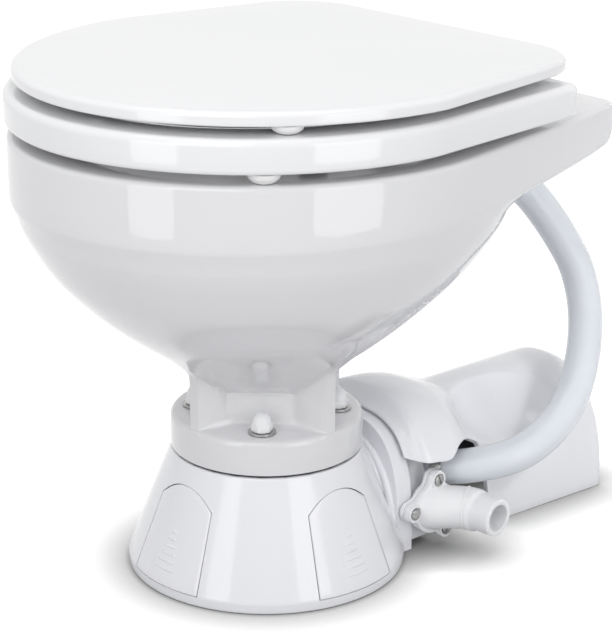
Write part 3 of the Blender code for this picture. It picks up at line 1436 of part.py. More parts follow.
def screw_profile():
    rim = SCREW_HEAD_HEIGHT / 2
    return [
        (0, -SCREW_LENGTH),
        (SCREW_SHANK_RADIUS, -SCREW_LENGTH),
        (SCREW_SHANK_RADIUS, 0),
        (SCREW_HEAD_RADIUS, 0),
        (SCREW_HEAD_RADIUS, rim),
        (SCREW_HEAD_RADIUS - rim, SCREW_HEAD_HEIGHT),
        (0, SCREW_HEAD_HEIGHT),
    ]


def ball(name, radius, centre, look, steps=MEDIUM):
    half = steps // 2
    profile = []
    for i in range(half + 1):
        angle = math.pi * i / half
        profile.append((radius * math.sin(angle), -radius * math.cos(angle)))
    profile[0], profile[-1] = (0, -radius), (0, radius)
    piece = turned(name, profile, look, steps=steps)
    piece.location = centre
    return piece


# Flush hose, its clamps and the inlet spud


def smooth_route(points, count):
    """Evenly spaced points on a smooth curve through the given ones."""
    knots = [Vector(point) for point in points]
    knots = [2 * knots[0] - knots[1], *knots, 2 * knots[-1] - knots[-2]]
    fine = []
    for a, b, c, d in zip(knots, knots[1:], knots[2:], knots[3:]):
        for k in range(8):
            t = k / 8
            fine.append(
                0.5 * (2 * b + (c - a) * t + (2 * a - 5 * b + 4 * c - d) * t**2 + (3 * b - 3 * c + d - a) * t**3)
            )
    fine.append(knots[-2])
    runs = [0.0]
    for a, b in zip(fine, fine[1:]):
        runs.append(runs[-1] + (b - a).length)
    even = []
    for k in range(count):
        want = runs[-1] * k / (count - 1)
        i = next((n for n in range(1, len(runs) - 1) if runs[n] >= want), len(runs) - 1)
        share = (want - runs[i - 1]) / (runs[i] - runs[i - 1])
        even.append(fine[i - 1].lerp(fine[i], share))
    return even


def hose_line():
    """The hose's centre line: from the pump's spout, along its route, onto the spud."""
    face, outwards = spud_axis()
    spud_end = face + outwards * (GROMMET_FLANGE + SPOUT_COLLAR + 3 * GAP)
    ahead = [spud_end + outwards * (HOSE_RADIUS * k) for k in (2, 1, 0)]
    return smooth_route([*HOSE_ROUTE, *ahead], HOSE_STEPS)


def hose_ends():
    """Where each end of the hose sits, and the way it points from there along the hose."""
    route_start = Vector(HOSE_ROUTE[0])
    face, outwards = spud_axis()
    spud_end = face + outwards * (GROMMET_FLANGE + SPOUT_COLLAR + 3 * GAP)
    return (route_start, (Vector(HOSE_ROUTE[1]) - route_start).normalized()), (spud_end, outwards)


def frames_along(line):
    """Turning-free pairs of side vectors at each point of a line."""
    (_, first), (_, last) = hose_ends()
    ways = [first]
    for before, after in zip(line, line[2:]):
        ways.append((after - before).normalized())
    ways.append(-last)
    side = ways[0].cross(ALONG_Z).normalized()
    frames = []
    for way in ways:
        side = (side - way * side.dot(way)).normalized()
        frames.append((side, way.cross(side)))
    return frames


def add_hose(looks):
    line = hose_line()
    frames = frames_along(line)
    outer, inner = [], []
    for centre, (side, up) in zip(line, frames):
        for radius, rings in ((HOSE_RADIUS, outer), (HOSE_BORE, inner)):
            ring = []
            for angle in turn_angles(HOSE_SIDES):
                ring.append(centre + (side * math.cos(angle) + up * math.sin(angle)) * radius)
            rings.append(ring)
    lofted("flush_hose", outer + inner[::-1], looks["hose"], closed=True)
    length = sum((b - a).length for a, b in zip(line, line[1:]))
    print(f"hose length {length * 1000:.0f} mm")
    band_inner = around(HOSE_RADIUS, MEDIUM)
    for word, (place, way), side in zip(("pump", "bowl"), hose_ends(), (ALONG_Z, -ALONG_X)):
        outer = band_inner + CLAMP_THICKNESS
        band = tube(f"hose_clamp_{word}", outer, band_inner, CLAMP_WIDTH, looks["steel"])
        depth, width, height = CLAMP_HOUSING
        low = band_inner + CLAMP_THICKNESS / 2
        margin = (CLAMP_WIDTH - depth) / 2
        box = block("box", (low, -width / 2, margin), (low + height, width / 2, margin + depth), looks["steel"])
        fuse(band, box)
        across = (side - way * side.dot(way)).normalized()
        band.location = place + way * CLAMP_OFFSET
        band.rotation_mode = "QUATERNION"
        band.rotation_quaternion = Matrix((across, way.cross(across), way)).transposed().to_quaternion()


def add_spud(looks):
    face, outwards = spud_axis()
    stem = SPUD_STEM_LENGTH
    collar_start = GROMMET_FLANGE + 2 * GAP
    collar_end = collar_start + SPOUT_COLLAR
    profile = [
        (SPOUT_BORE, -stem),
        (SPUD_PIPE_RADIUS, -stem),
        (SPUD_PIPE_RADIUS, collar_start),
        (SPOUT_COLLAR_RADIUS, collar_start),
        (SPOUT_COLLAR_RADIUS, collar_end),
        (SPOUT_RADIUS, collar_end),
        (SPOUT_RADIUS, collar_end + SPOUT_LENGTH),
        (SPOUT_BORE, collar_end + SPOUT_LENGTH),
    ]
    spud = turned("inlet_spud", profile, looks["nylon"], closed=True)
    point_along(spud, face, outwards)
    inner = around(SPUD_PIPE_RADIUS, MEDIUM)
    sleeve = SPUD_HOLE_RADIUS * math.cos(math.pi / COARSE) - GAP
    rings = [
        (inner, -GROMMET_LENGTH),
        (sleeve, -GROMMET_LENGTH),
        (sleeve, GAP),
        (GROMMET_FLANGE_RADIUS, GAP),
        (GROMMET_FLANGE_RADIUS, GAP + GROMMET_FLANGE),
        (inner, GAP + GROMMET_FLANGE),
    ]
    grommet = turned("inlet_grommet", rings, looks["rubber"], closed=True)
    point_along(grommet, face, outwards)


# Motor cover


def cover_form(name, wall, look):
    """The cover's outer form, or with a wall the space inside it."""
    floor = -OVERRUN if wall else 0.0
    front = SHELL_FRONT - (OVERRUN if wall else 0.0)
    seat_width = COLLAR_HALF_WIDTH + GAP + SHELL_WALL - wall
    seat_top = COLLAR_HEIGHT + GAP + SHELL_WALL - wall
    hood = [
        arch(y, seat_width, seat_width, seat_top, COLLAR_POWER, floor) for y in (front, SHELL_FRONT + HOOD_SEAT)
    ]
    shares = zip(HOOD_LENGTH_SHARES, HOOD_LEFT_SHARES, HOOD_RIGHT_SHARES, HOOD_TOP_SHARES, HOOD_POWERS)
    for length, left, right, top, power in shares:
        y = SHELL_FRONT + (HOOD_END - wall - SHELL_FRONT) * length
        sides = (HOOD_LEFT * left - wall, HOOD_RIGHT * right - wall)
        hood.append(arch(y, *sides, HOOD_TOP * top - wall, power, floor))
    form = lofted(name, hood, look)
    back = BODY_SHELL_BACK - wall
    edge = BODY_SHELL_EDGE
    left, full = BODY_SHELL_LEFT - wall, BODY_SHELL_RIGHT - wall
    narrow = full - BODY_SHELL_NARROW
    top = BODY_SHELL_TOP - wall
    power = BODY_SHELL_POWER
    body = [
        arch(BODY_SHELL_FRONT + wall, left, narrow, top, power, floor),
        arch(back - edge, left, full, top, power, floor),
        arch(back - edge / 3, left - edge / 3, full - edge / 3, top - edge / 3, power, floor),
        arch(back, left - edge, full - edge, top - edge, power, floor),
    ]
    fuse(form, lofted("body", body, look))
    scoop = ball("scoop", 1, SCOOP_MIDDLE, look, FINE)
    scoop.scale = [radius + wall for radius in SCOOP_RADII]
    return cut(form, scoop)


def add_motor_cover(looks):
    plastic = looks["plastic"]
    cover = cover_form("motor_cover", 0.0, plastic)
    cut(cover, cover_form("inside", SHELL_WALL, plastic))
    reach = HOOD_RIGHT + OVERRUN
    for side in (-1, 1):
        x_low, x_high = sorted((side * SIDE_OPENING_INNER, side * reach))
        opening = block(
            "opening",
            (x_low, SHELL_FRONT - OVERRUN, -OVERRUN),
            (x_high, SIDE_OPENING_BACK, BEAK_EDGE_HEIGHT),
            plastic,
        )
        notch_z = HOSE_NOTCH_TOP - HOSE_NOTCH_RADIUS
        notch_start = (side * (SIDE_OPENING_INNER + OVERRUN), HOSE_NOTCH_Y, notch_z)
        notch = rod("notch", HOSE_NOTCH_RADIUS, notch_start, (side * reach, HOSE_NOTCH_Y, notch_z), plastic)
        cut(cover, opening, notch)
    gap_under = block(
        "gap_under",
        (-reach, SHELL_FRONT - OVERRUN, -OVERRUN),
        (reach, BODY_SHELL_BACK + OVERRUN, SHELL_FOOT_GAP),
        plastic,
    )
    cable = rod(
        "cable",
        CABLE_NOTCH_RADIUS,
        (CABLE_NOTCH_X, BODY_SHELL_BACK - 2 * BODY_SHELL_EDGE, 0),
        (CABLE_NOTCH_X, BODY_SHELL_BACK + OVERRUN, 0),
        plastic,
        COARSE,
    )
    cut(cover, gap_under, cable)


def main():
    for item in list(bpy.data.objects):
        bpy.data.objects.remove(item)
    looks = make_looks()
    add_base(looks)
    add_bowl(looks)
    add_bowl_fixings(looks)
    add_seat(looks)
    add_lid(looks)
    add_hinges(looks)
    add_macerator(looks)
    add_rinse_pump(looks)
    add_rotor(looks)
    add_motor(looks)
    add_elbow(looks)
    add_hose(looks)
    add_spud(looks)
    add_motor_cover(looks)
    for item in bpy.data.objects:
        if item.type == "MESH":
            item.data.shade_smooth()
            item.data.set_sharp_from_angle(angle=SHARP_ANGLE)


main()
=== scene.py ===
import math

import bmesh
import bpy
from mathutils import Matrix, Vector


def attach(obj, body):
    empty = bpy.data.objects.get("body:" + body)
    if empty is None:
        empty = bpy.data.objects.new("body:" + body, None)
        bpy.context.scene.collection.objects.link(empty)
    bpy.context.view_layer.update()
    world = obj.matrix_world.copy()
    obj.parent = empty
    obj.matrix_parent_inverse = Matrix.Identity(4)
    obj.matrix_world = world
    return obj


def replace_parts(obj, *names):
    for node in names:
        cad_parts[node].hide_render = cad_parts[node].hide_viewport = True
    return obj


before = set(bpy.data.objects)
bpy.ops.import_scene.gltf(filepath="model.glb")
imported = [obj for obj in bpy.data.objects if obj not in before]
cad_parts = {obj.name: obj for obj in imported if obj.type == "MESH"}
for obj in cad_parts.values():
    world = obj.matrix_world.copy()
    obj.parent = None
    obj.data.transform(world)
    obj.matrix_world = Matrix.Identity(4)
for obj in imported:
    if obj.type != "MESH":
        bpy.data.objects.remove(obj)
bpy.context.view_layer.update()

# Electric marine toilet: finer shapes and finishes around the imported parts. Metres, front is -Y.

upZ = Vector((0, 0, 1))
alongX = Vector((1, 0, 0))
alongY = Vector((0, 1, 0))


# shader helpers


class Signal:
    # one socket of a node tree; arithmetic on it adds Math nodes
    def __init__(self, finish, socket):
        self.finish = finish
        self.socket = socket

    def maths(self, operation, other):
        return self.finish.node("ShaderNodeMath", {"operation": operation}, {0: self, 1: other})

    def __add__(self, other):
        return self.maths("ADD", other)

    def __mul__(self, other):
        return self.maths("MULTIPLY", other)


class Finish:
    # one material, its shader and the nodes that feed it
    def __init__(self, name):
        self.material = bpy.data.materials.new(name)
        self.material.use_nodes = True
        self.tree = self.material.node_tree
        self.shader = self.tree.nodes["Principled BSDF"]
        self.place = self.node("ShaderNodeTexCoord", output="Object")

    def node(self, kind, settings=None, sockets=None, output=0):
        made = self.tree.nodes.new(kind)
        for name, value in (settings or {}).items():
            setattr(made, name, value)
        for name, value in (sockets or {}).items():
            self.feed(self.find(made.inputs, name), value)
        return Signal(self, self.find(made.outputs, output))

    def find(self, sockets, name):
        if isinstance(name, int):
            return sockets[name]
        for socket in sockets:
            if name in (socket.identifier, socket.name):
                return socket
        raise KeyError(name)

    def feed(self, socket, value):
        if isinstance(value, Signal):
            self.tree.links.new(value.socket, socket)
        else:
            socket.default_value = value

    def set(self, **sockets):
        for name, value in sockets.items():
            words = "".join(" " + c if c.isupper() else c for c in name).strip().title()
            self.feed(self.find(self.shader.inputs, words), value)

    def noise(self, size, detail, stretch=(1, 1, 1)):
        # soft noise whose lumps are about one size across, in metres
        place = self.node("ShaderNodeMapping", None, {"Vector": self.place, "Scale": stretch})
        return self.node("ShaderNodeTexNoise", None, {"Vector": place, "Scale": 1 / size, "Detail": detail})

    def between(self, share, low, high):
        # a number that runs from low to high over the middle of a noise
        return self.node("ShaderNodeMapRange", None, {0: share, 1: 0.3, 2: 0.7, 3: low, 4: high})

    def blend(self, share, first, second):
        colours = {"Factor_Float": share, "A_Color": (*first, 1), "B_Color": (*second, 1)}
        return self.node("ShaderNodeMix", {"data_type": "RGBA"}, colours, "Result_Color")

    def bump(self, height, distance, strength):
        sockets = {"Strength": strength, "Distance": distance, "Height": height}
        return self.node("ShaderNodeBump", None, sockets, "Normal")


def makeFinish(name, noises, colours, roughness, bump, roughNoise=0, **more):
    # noises hold size, detail, share in the bump and stretch; the first one tints the colour
    finish = Finish(name)
    made = [finish.noise(size, detail, *stretch) for size, detail, share, *stretch in noises]
    height = None
    for signal, noise in zip(made, noises):
        share = noise[2]
        if share:
            part = signal if share == 1 else signal * share
            height = part if height is None else height + part
    finish.set(
        baseColor=finish.blend(made[0], *colours),
        roughness=finish.between(made[roughNoise], *roughness),
        normal=finish.bump(height, *bump),
        **more,
    )
    return finish.material


def copperWinding():
    # enamelled wire: fine turns across a warm copper tone
    finish = Finish("copperWinding")
    wave = {"Vector": finish.place, "Scale": 350, "Distortion": 0.4}
    windings = finish.node("ShaderNodeTexWave", {"bands_direction": "Y"}, wave, "Fac")
    finish.set(
        baseColor=finish.blend(finish.noise(0.01, 2), (0.52, 0.24, 0.11), (0.68, 0.36, 0.18)),
        metallic=0.9,
        roughness=finish.between(windings, 0.28, 0.42),
        normal=finish.bump(windings, 0.0003, 0.7),
    )
    return finish.material


looks = {
    "ceramic": makeFinish(
        "glazedCeramic",
        [(0.09, 2, 0), (0.022, 1.5, 0.9), (0.0016, 1, 0.02)],
        [(0.765, 0.765, 0.78), (0.80, 0.80, 0.82)],
        (0.035, 0.07),
        (0.00035, 0.5),
        roughNoise=1,
        coatWeight=0.25,
        coatRoughness=0.03,
    ),
    # sprayed gloss coats over moulded wood: a faint orange peel
    "enamel": makeFinish(
        "enamelledWood",
        [(0.12, 2, 0), (0.05, 1, 1), (0.0035, 1.5, 0.05)],
        [(0.855, 0.86, 0.872), (0.89, 0.893, 0.905)],
        (0.05, 0.09),
        (0.0003, 0.4),
        roughNoise=1,
        coatWeight=0.3,
        coatRoughness=0.04,
    ),
    # gloss moulded plastic with faint flow marks and a fine grain
    "plastic": makeFinish(
        "mouldedPlastic",
        [(0.05, 3, 1, (1, 1, 0.35)), (0.0006, 2, 0.2)],
        [(0.875, 0.88, 0.915), (0.90, 0.905, 0.935)],
        (0.10, 0.15),
        (0.0001, 0.5),
        coatWeight=0.3,
        coatRoughness=0.05,
    ),
    "nylon": makeFinish(
        "nylonPlastic",
        [(0.012, 3, 1), (0.0005, 2, 0.3)],
        [(0.88, 0.885, 0.90), (0.91, 0.915, 0.93)],
        (0.30, 0.38),
        (0.0001, 0.5),
    ),
    # smooth vinyl, a little waxy
    "hose": makeFinish(
        "hosePlastic",
        [(0.03, 2, 1), (0.0012, 2, 0.1)],
        [(0.73, 0.765, 0.815), (0.775, 0.81, 0.855)],
        (0.20, 0.27),
        (0.0002, 0.4),
        coatWeight=0.2,
        coatRoughness=0.12,
    ),
    "rubber": makeFinish(
        "blackRubber",
        [(0.004, 3, 1)],
        [(0.018, 0.018, 0.019), (0.045, 0.045, 0.045)],
        (0.6, 0.78),
        (0.0001, 0.6),
    ),
    "bumper": makeFinish(
        "softBumper", [(0.006, 2, 1)], [(0.80, 0.80, 0.80), (0.86, 0.86, 0.86)], (0.42, 0.5), (0.0001, 0.4)
    ),
    # brushed along one way
    "steel": makeFinish(
        "stainlessSteel",
        [(0.006, 2, 0), (0.0004, 2, 1, (1, 1, 0.08))],
        [(0.36, 0.36, 0.355), (0.50, 0.50, 0.49)],
        (0.20, 0.36),
        (0.00003, 0.5),
        roughNoise=1,
        metallic=1.0,
    ),
    "motor": makeFinish(
        "motorPaint",
        [(0.02, 3, 0), (0.0009, 2, 1)],
        [(0.055, 0.057, 0.062), (0.085, 0.087, 0.093)],
        (0.38, 0.5),
        (0.00012, 0.6),
    ),
    "copper": copperWinding(),
}
print("finishes made")

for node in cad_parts.values():
    for spot in node.material_slots:
        stem = spot.material.name.split(".")[0]
        spot.material = looks[stem if stem in looks else "plastic"]
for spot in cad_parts["rinse_pump_body"].material_slots:
    spot.material = looks["motor"]


# mesh helpers


def linked(name, data):
    made = bpy.data.objects.new(name, data)
    bpy.context.scene.collection.objects.link(made)
    return made


def atAngle(reach, angle, z):
    return Vector((reach * math.cos(angle), reach * math.sin(angle), z))


def keep(name, mesh, look, body, sharp=35):
    # links a finished mesh, smooths it and lets it ride on its body
    mesh.materials.clear()
    mesh.materials.append(looks[look])
    for face in mesh.polygons:
        face.use_smooth = True
    mesh.set_sharp_from_angle(angle=math.radians(sharp))
    piece = linked(name, mesh)
    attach(piece, body)
    return piece


def settled(piece):
    # the mesh with its modifiers applied, after which the helper object is gone
    bpy.context.view_layer.update()
    graph = bpy.context.evaluated_depsgraph_get()
    mesh = bpy.data.meshes.new_from_object(piece.evaluated_get(graph))
    bpy.data.objects.remove(piece)
    return mesh


def meshOf(bm):
    bmesh.ops.recalc_face_normals(bm, faces=bm.faces)
    mesh = bpy.data.meshes.new("shape")
    bm.to_mesh(mesh)
    bm.free()
    return mesh


def loft(rings, closed=False):
    # rings with equal numbers of points, joined in order, with capped ends unless closed
    bm = bmesh.new()
    rows = [[bm.verts.new(point) for point in ring] for ring in rings]
    pairs = list(zip(rows, rows[1:]))
    if closed:
        pairs.append((rows[-1], rows[0]))
    else:
        bm.faces.new(rows[0])
        bm.faces.new(rows[-1])
    for low, high in pairs:
        for i in range(len(low)):
            j = (i + 1) % len(low)
            bm.faces.new((low[i], low[j], high[j], high[i]))
    return meshOf(bm)


def turned(profile, steps=64, closed=False, start=(0, 0, 0), direction=(0, 0, 1)):
    # (radius, height) points turned about a line
    bm = bmesh.new()
    points = [bm.verts.new((radius, 0, height)) for radius, height in profile]
    pairs = list(zip(points, points[1:]))
    if closed:
        pairs.append((points[-1], points[0]))
    edges = [bm.edges.new(pair) for pair in pairs]
    bmesh.ops.spin(
        bm, geom=points + edges, axis=upZ, cent=(0, 0, 0), angle=2 * math.pi, steps=steps, use_merge=True
    )
    bmesh.ops.remove_doubles(bm, verts=bm.verts, dist=0.00001)
    turn = Vector(direction).to_track_quat("Z", "Y").to_matrix().to_4x4()
    bmesh.ops.transform(bm, matrix=Matrix.Translation(start) @ turn, verts=bm.verts)
    return meshOf(bm)


def rod(radius, start, end, steps=48):
    run = Vector(end) - Vector(start)
    profile = [(0, 0), (radius, 0), (radius, run.length), (0, run.length)]
    return turned(profile, steps, start=start, direction=run)


def prism(outline, direction, start, length):
    frames = {"X": lambda a, u, d: (d, a, u), "Y": lambda a, u, d: (a, d, u), "Z": lambda a, u, d: (a, u, d)}
    place = frames[direction]
    return loft([[Vector(place(a, u, d)) for a, u in outline] for d in (start, start + length)])


def block(low, high):
    outline = [(low[0], low[1]), (high[0], low[1]), (high[0], high[1]), (low[0], high[1])]
    return prism(outline, "Z", low[2], high[2] - low[2])


def joined(*meshes):
    bm = bmesh.new()
    for mesh in meshes:
        bm.from_mesh(mesh)
    mesh = bpy.data.meshes.new("shape")
    bm.to_mesh(mesh)
    bm.free()
    return mesh


def combine(mesh, operation, *tools):
    # Booleans one after the other
    for tool in tools:
        body, cutter = linked("body", mesh), linked("cutter", tool)
        step = body.modifiers.new("step", "BOOLEAN")
        step.operation = operation
        step.object = cutter
        step.solver = "EXACT"
        mesh = settled(body)
        bpy.data.objects.remove(cutter)
    return mesh


def cut(mesh, *tools):
    return combine(mesh, "DIFFERENCE", *tools)


def fuse(mesh, *tools):
    return combine(mesh, "UNION", *tools)


def rounded(mesh, width, segments=3, angle=40):
    # rounds the sharp edges
    piece = linked("helper", mesh)
    bevel = piece.modifiers.new("bevel", "BEVEL")
    bevel.width = width
    bevel.segments = segments
    bevel.limit_method = "ANGLE"
    bevel.angle_limit = math.radians(angle)
    bevel.miter_outer = "MITER_ARC"
    bevel.harden_normals = False
    return settled(piece)


def roundedLine(points, radii, samples=5):
    # a polyline whose corners are replaced by arcs of the given radii
    line = [Vector(points[0])]
    for k in range(1, len(points) - 1):
        before, corner, after = (Vector(points[k + d]) for d in (-1, 0, 1))
        first, last = before - corner, after - corner
        if radii[k] == 0 or first.length == 0 or last.length == 0:
            line.append(corner)
            continue
        leg = min(radii[k], first.length * 0.49, last.length * 0.49)
        start, end = corner + first.normalized() * leg, corner + last.normalized() * leg
        for i in range(samples + 1):
            t = i / samples
            line.append(start * (1 - t) ** 2 + corner * 2 * t * (1 - t) + end * t**2)
    line.append(Vector(points[-1]))
    return line


def easedLine(points, samples=5):
    # a curve that starts and ends on its outer points and follows the inner ones softly
    line = [points[0]]
    for k in range(1, len(points) - 1):
        start = points[0] if k == 1 else (points[k - 1] + points[k]) / 2
        end = points[-1] if k == len(points) - 2 else (points[k] + points[k + 1]) / 2
        for i in range(1, samples + 1):
            t = i / samples
            line.append(start * (1 - t) ** 2 + points[k] * 2 * t * (1 - t) + end * t**2)
    return line


def steady(knots, values, at):
    # a smooth curve through the values that doesn't overshoot them
    slopes = [(b - a) / (q - p) for a, b, p, q in zip(values, values[1:], knots, knots[1:])]
    leans = [slopes[0]]
    for k in range(1, len(knots) - 1):
        a, b = slopes[k - 1], slopes[k]
        leans.append(0.0 if a * b <= 0 else 2 * a * b / (a + b))
    leans.append(slopes[-1])
    i = next((k for k in range(len(knots) - 2) if at < knots[k + 1]), len(knots) - 2)
    step = knots[i + 1] - knots[i]
    t = (at - knots[i]) / step
    return (
        values[i] * (1 + 2 * t) * (1 - t) ** 2
        + leans[i] * step * t * (1 - t) ** 2
        + values[i + 1] * t * t * (3 - 2 * t)
        + leans[i + 1] * step * t * t * (t - 1)
    )


def softMax(a, b, blend):
    return (a + b + math.sqrt((a - b) ** 2 + blend**2)) / 2


def softStep(low, high, value):
    t = min(max((value - low) / (high - low), 0), 1)
    return t * t * (3 - 2 * t)


def ovalReach(angle, halfWidth, front, rear, powers):
    # distance from the middle to an oval that is squarer behind
    across, along = abs(math.cos(angle)), math.sin(angle)
    power = powers[0] if along < 0 else powers[1]
    depth = front if along < 0 else rear
    return ((across / halfWidth) ** power + (abs(along) / depth) ** power) ** (-1 / power)


def collar(inner, outer, height, edges, steps, start=(0, 0, 0), direction=upZ):
    # a turned ring, or a disc without an inner radius, with its two outer edges rounded
    points = [(inner, 0), (outer, 0), (outer, height), (inner, height)]
    return turned(roundedLine(points, [0, *edges, 0]), steps, inner > 0, start, direction)


def turns(count):
    return [2 * math.pi * i / count for i in range(count)]


def sweep(line, radii, steps=48, side=upZ):
    # rings of the given radii along a line of points
    rings = []
    across = side
    for k, (centre, radius) in enumerate(zip(line, radii)):
        way = (line[min(k + 1, len(line) - 1)] - line[max(k - 1, 0)]).normalized()
        across = (across - way * across.dot(way)).normalized()
        other = way.cross(across)
        rings.append([centre + (across * math.cos(a) + other * math.sin(a)) * radius for a in turns(steps)])
    return rings


def cross(a, b, c):
    return (b[0] - a[0]) * (c[1] - a[1]) - (b[1] - a[1]) * (c[0] - a[0])


def hullOf(points):
    ordered = sorted(set(points))
    outline = []
    for run in (ordered, ordered[::-1]):
        half = []
        for point in run:
            while len(half) > 1 and cross(half[-2], half[-1], point) <= 0:
                half.pop()
            half.append(point)
        outline += half[:-1]
    return outline


def reachOf(outline, angle):
    rayX, rayY = math.cos(angle), math.sin(angle)
    farthest = 0.0
    for (ax, ay), (bx, by) in zip(outline, outline[1:] + outline[:1]):
        runX, runY = bx - ax, by - ay
        spread = rayX * runY - rayY * runX
        if spread == 0:
            continue
        if -1e-6 <= (ax * rayY - ay * rayX) / spread <= 1 + 1e-6:
            farthest = max(farthest, (ax * runY - ay * runX) / spread)
    return farthest


def arch(y, left, right, top, power, floor=0.0, steps=64, start=0.0, end=math.pi):
    # a section standing on the floor, upright at its sides and round on top
    middle, halfWidth = (right - left) / 2, (right + left) / 2
    section = []
    for i in range(steps + 1):
        angle = start + (end - start) * i / steps
        across = math.copysign(abs(math.cos(angle)) ** (2 / power), math.cos(angle))
        up = abs(math.sin(angle)) ** (2 / power)
        section.append(Vector((middle + halfWidth * across, y, floor + (top - floor) * up)))
    return section


# bowl

hinge = {
    "y": 0.183,
    "z": 0.3535,
    "x": 0.075,
    "knuckle": 0.008,
    "post": 0.010,
    "footRadius": 0.016,
    "foot": 0.004,
    "postDepth": 0.014,
    "lug": 0.009,
    "lugGap": 0.0005,
    "pin": 0.003,
    "footZ": 0.3243,
    "stemZ": 0.327,
    "nut": (0.0043, 0.009, 0.008),
    "nutZ": 0.2997,
    "wing": (0.007, 0.013),
    "wingHalf": 0.0015,
    "wingHeights": (0.2917, 0.3047),
}
spudFace = Vector((0, 0.193, 0.271))
spudWay = Vector((0, math.cos(math.pi / 6), -0.5))
spudEnd = spudFace + spudWay * 0.0084
outlineSteps, cornerSteps = 720, 48
bowl = {
    "flangeRadius": 0.0685,
    "flangeBottom": 0.0898,
    "flangeTop": 0.115,
    "flangeEdge": 0.005,
    "pedestalRib": 0.0668,
    "pedestalBay": 0.0375,
    "pedestalFoot": 0.007,
    "ribHalfAngle": 3.8,
    "ribFlank": 17,
    "straightTop": 0.1395,
    "blend": 0.003,
    "bodyBottom": 0.146,
    "bodyTop": 0.276,
    "heights": (0, 0.077, 0.169, 0.277, 0.4, 0.523, 0.646, 0.769, 0.892, 1),
    "fronts": (0.294, 0.372, 0.456, 0.567, 0.681, 0.776, 0.856, 0.914, 0.961, 0.987),
    "rears": (0.215, 0.245, 0.28, 0.347, 0.445, 0.578, 0.722, 0.849, 0.939, 0.99),
    "halfWidth": 0.168,
    "front": 0.182,
    "bodyRear": 0.168,
    "rimRear": 0.150,
    "powers": (1.95, 2.1),
    "rimTop": 0.324,
    "rimEdge": 0.0045,
    "deckRear": 0.2275,
    "deckHalfWidth": 0.1245,
    "deckCorner": 0.018,
    "skirtDrop": 0.048,
    "skirtRise": 0.020,
    "mouth": (0.126, 0.138, 0.112),
    "lipDepth": 0.025,
    "wall": 0.010,
    "throat": 0.030,
    "sides": 288,
    "bodySteps": 30,
    "insideSteps": 13,
    "ribPower": 2.6,
    "bodyEnd": 0.9,
    "nearTop": 0.93,
    "spudBoss": (0.0185, 0.034),
    "spudBore": (0.0135, 0.045),
    "nutRecess": (0.016, 0.27, 0.308),
    "boltHole": (0.0046, 0.30, 0.33),
}


def pedestalReach(angle):
    # four upright ribs with flat bays between them
    quarter = math.pi / 2
    past = angle % quarter
    bay = bowl["pedestalBay"] / math.cos(past - quarter / 2)
    away = math.degrees(min(past, quarter - past))
    side = min(max((away - bowl["ribHalfAngle"]) / bowl["ribFlank"], 0), 1)
    return bay + (bowl["pedestalRib"] - bay) * (1 - side) ** bowl["ribPower"]


def bodyReach(angle, share):
    wide = steady(bowl["heights"], bowl["fronts"], share)
    back = steady(bowl["heights"], bowl["rears"], share)
    sizes = (bowl["halfWidth"] * wide, bowl["front"] * wide, bowl["bodyRear"] * back)
    return ovalReach(angle, *sizes, bowl["powers"])


def topOutline():
    points = []
    for angle in turns(outlineSteps):
        reach = ovalReach(angle, bowl["halfWidth"], bowl["front"], bowl["rimRear"], bowl["powers"])
        points.append((reach * math.cos(angle), reach * math.sin(angle)))
    corner, middleY = bowl["deckCorner"], bowl["deckRear"] - bowl["deckCorner"]
    for side in (-1, 1):
        for angle in turns(cornerSteps):
            x = side * (bowl["deckHalfWidth"] - corner) + corner * math.cos(angle)
            points.append((x, middleY + corner * math.sin(angle)))
    return hullOf(points)


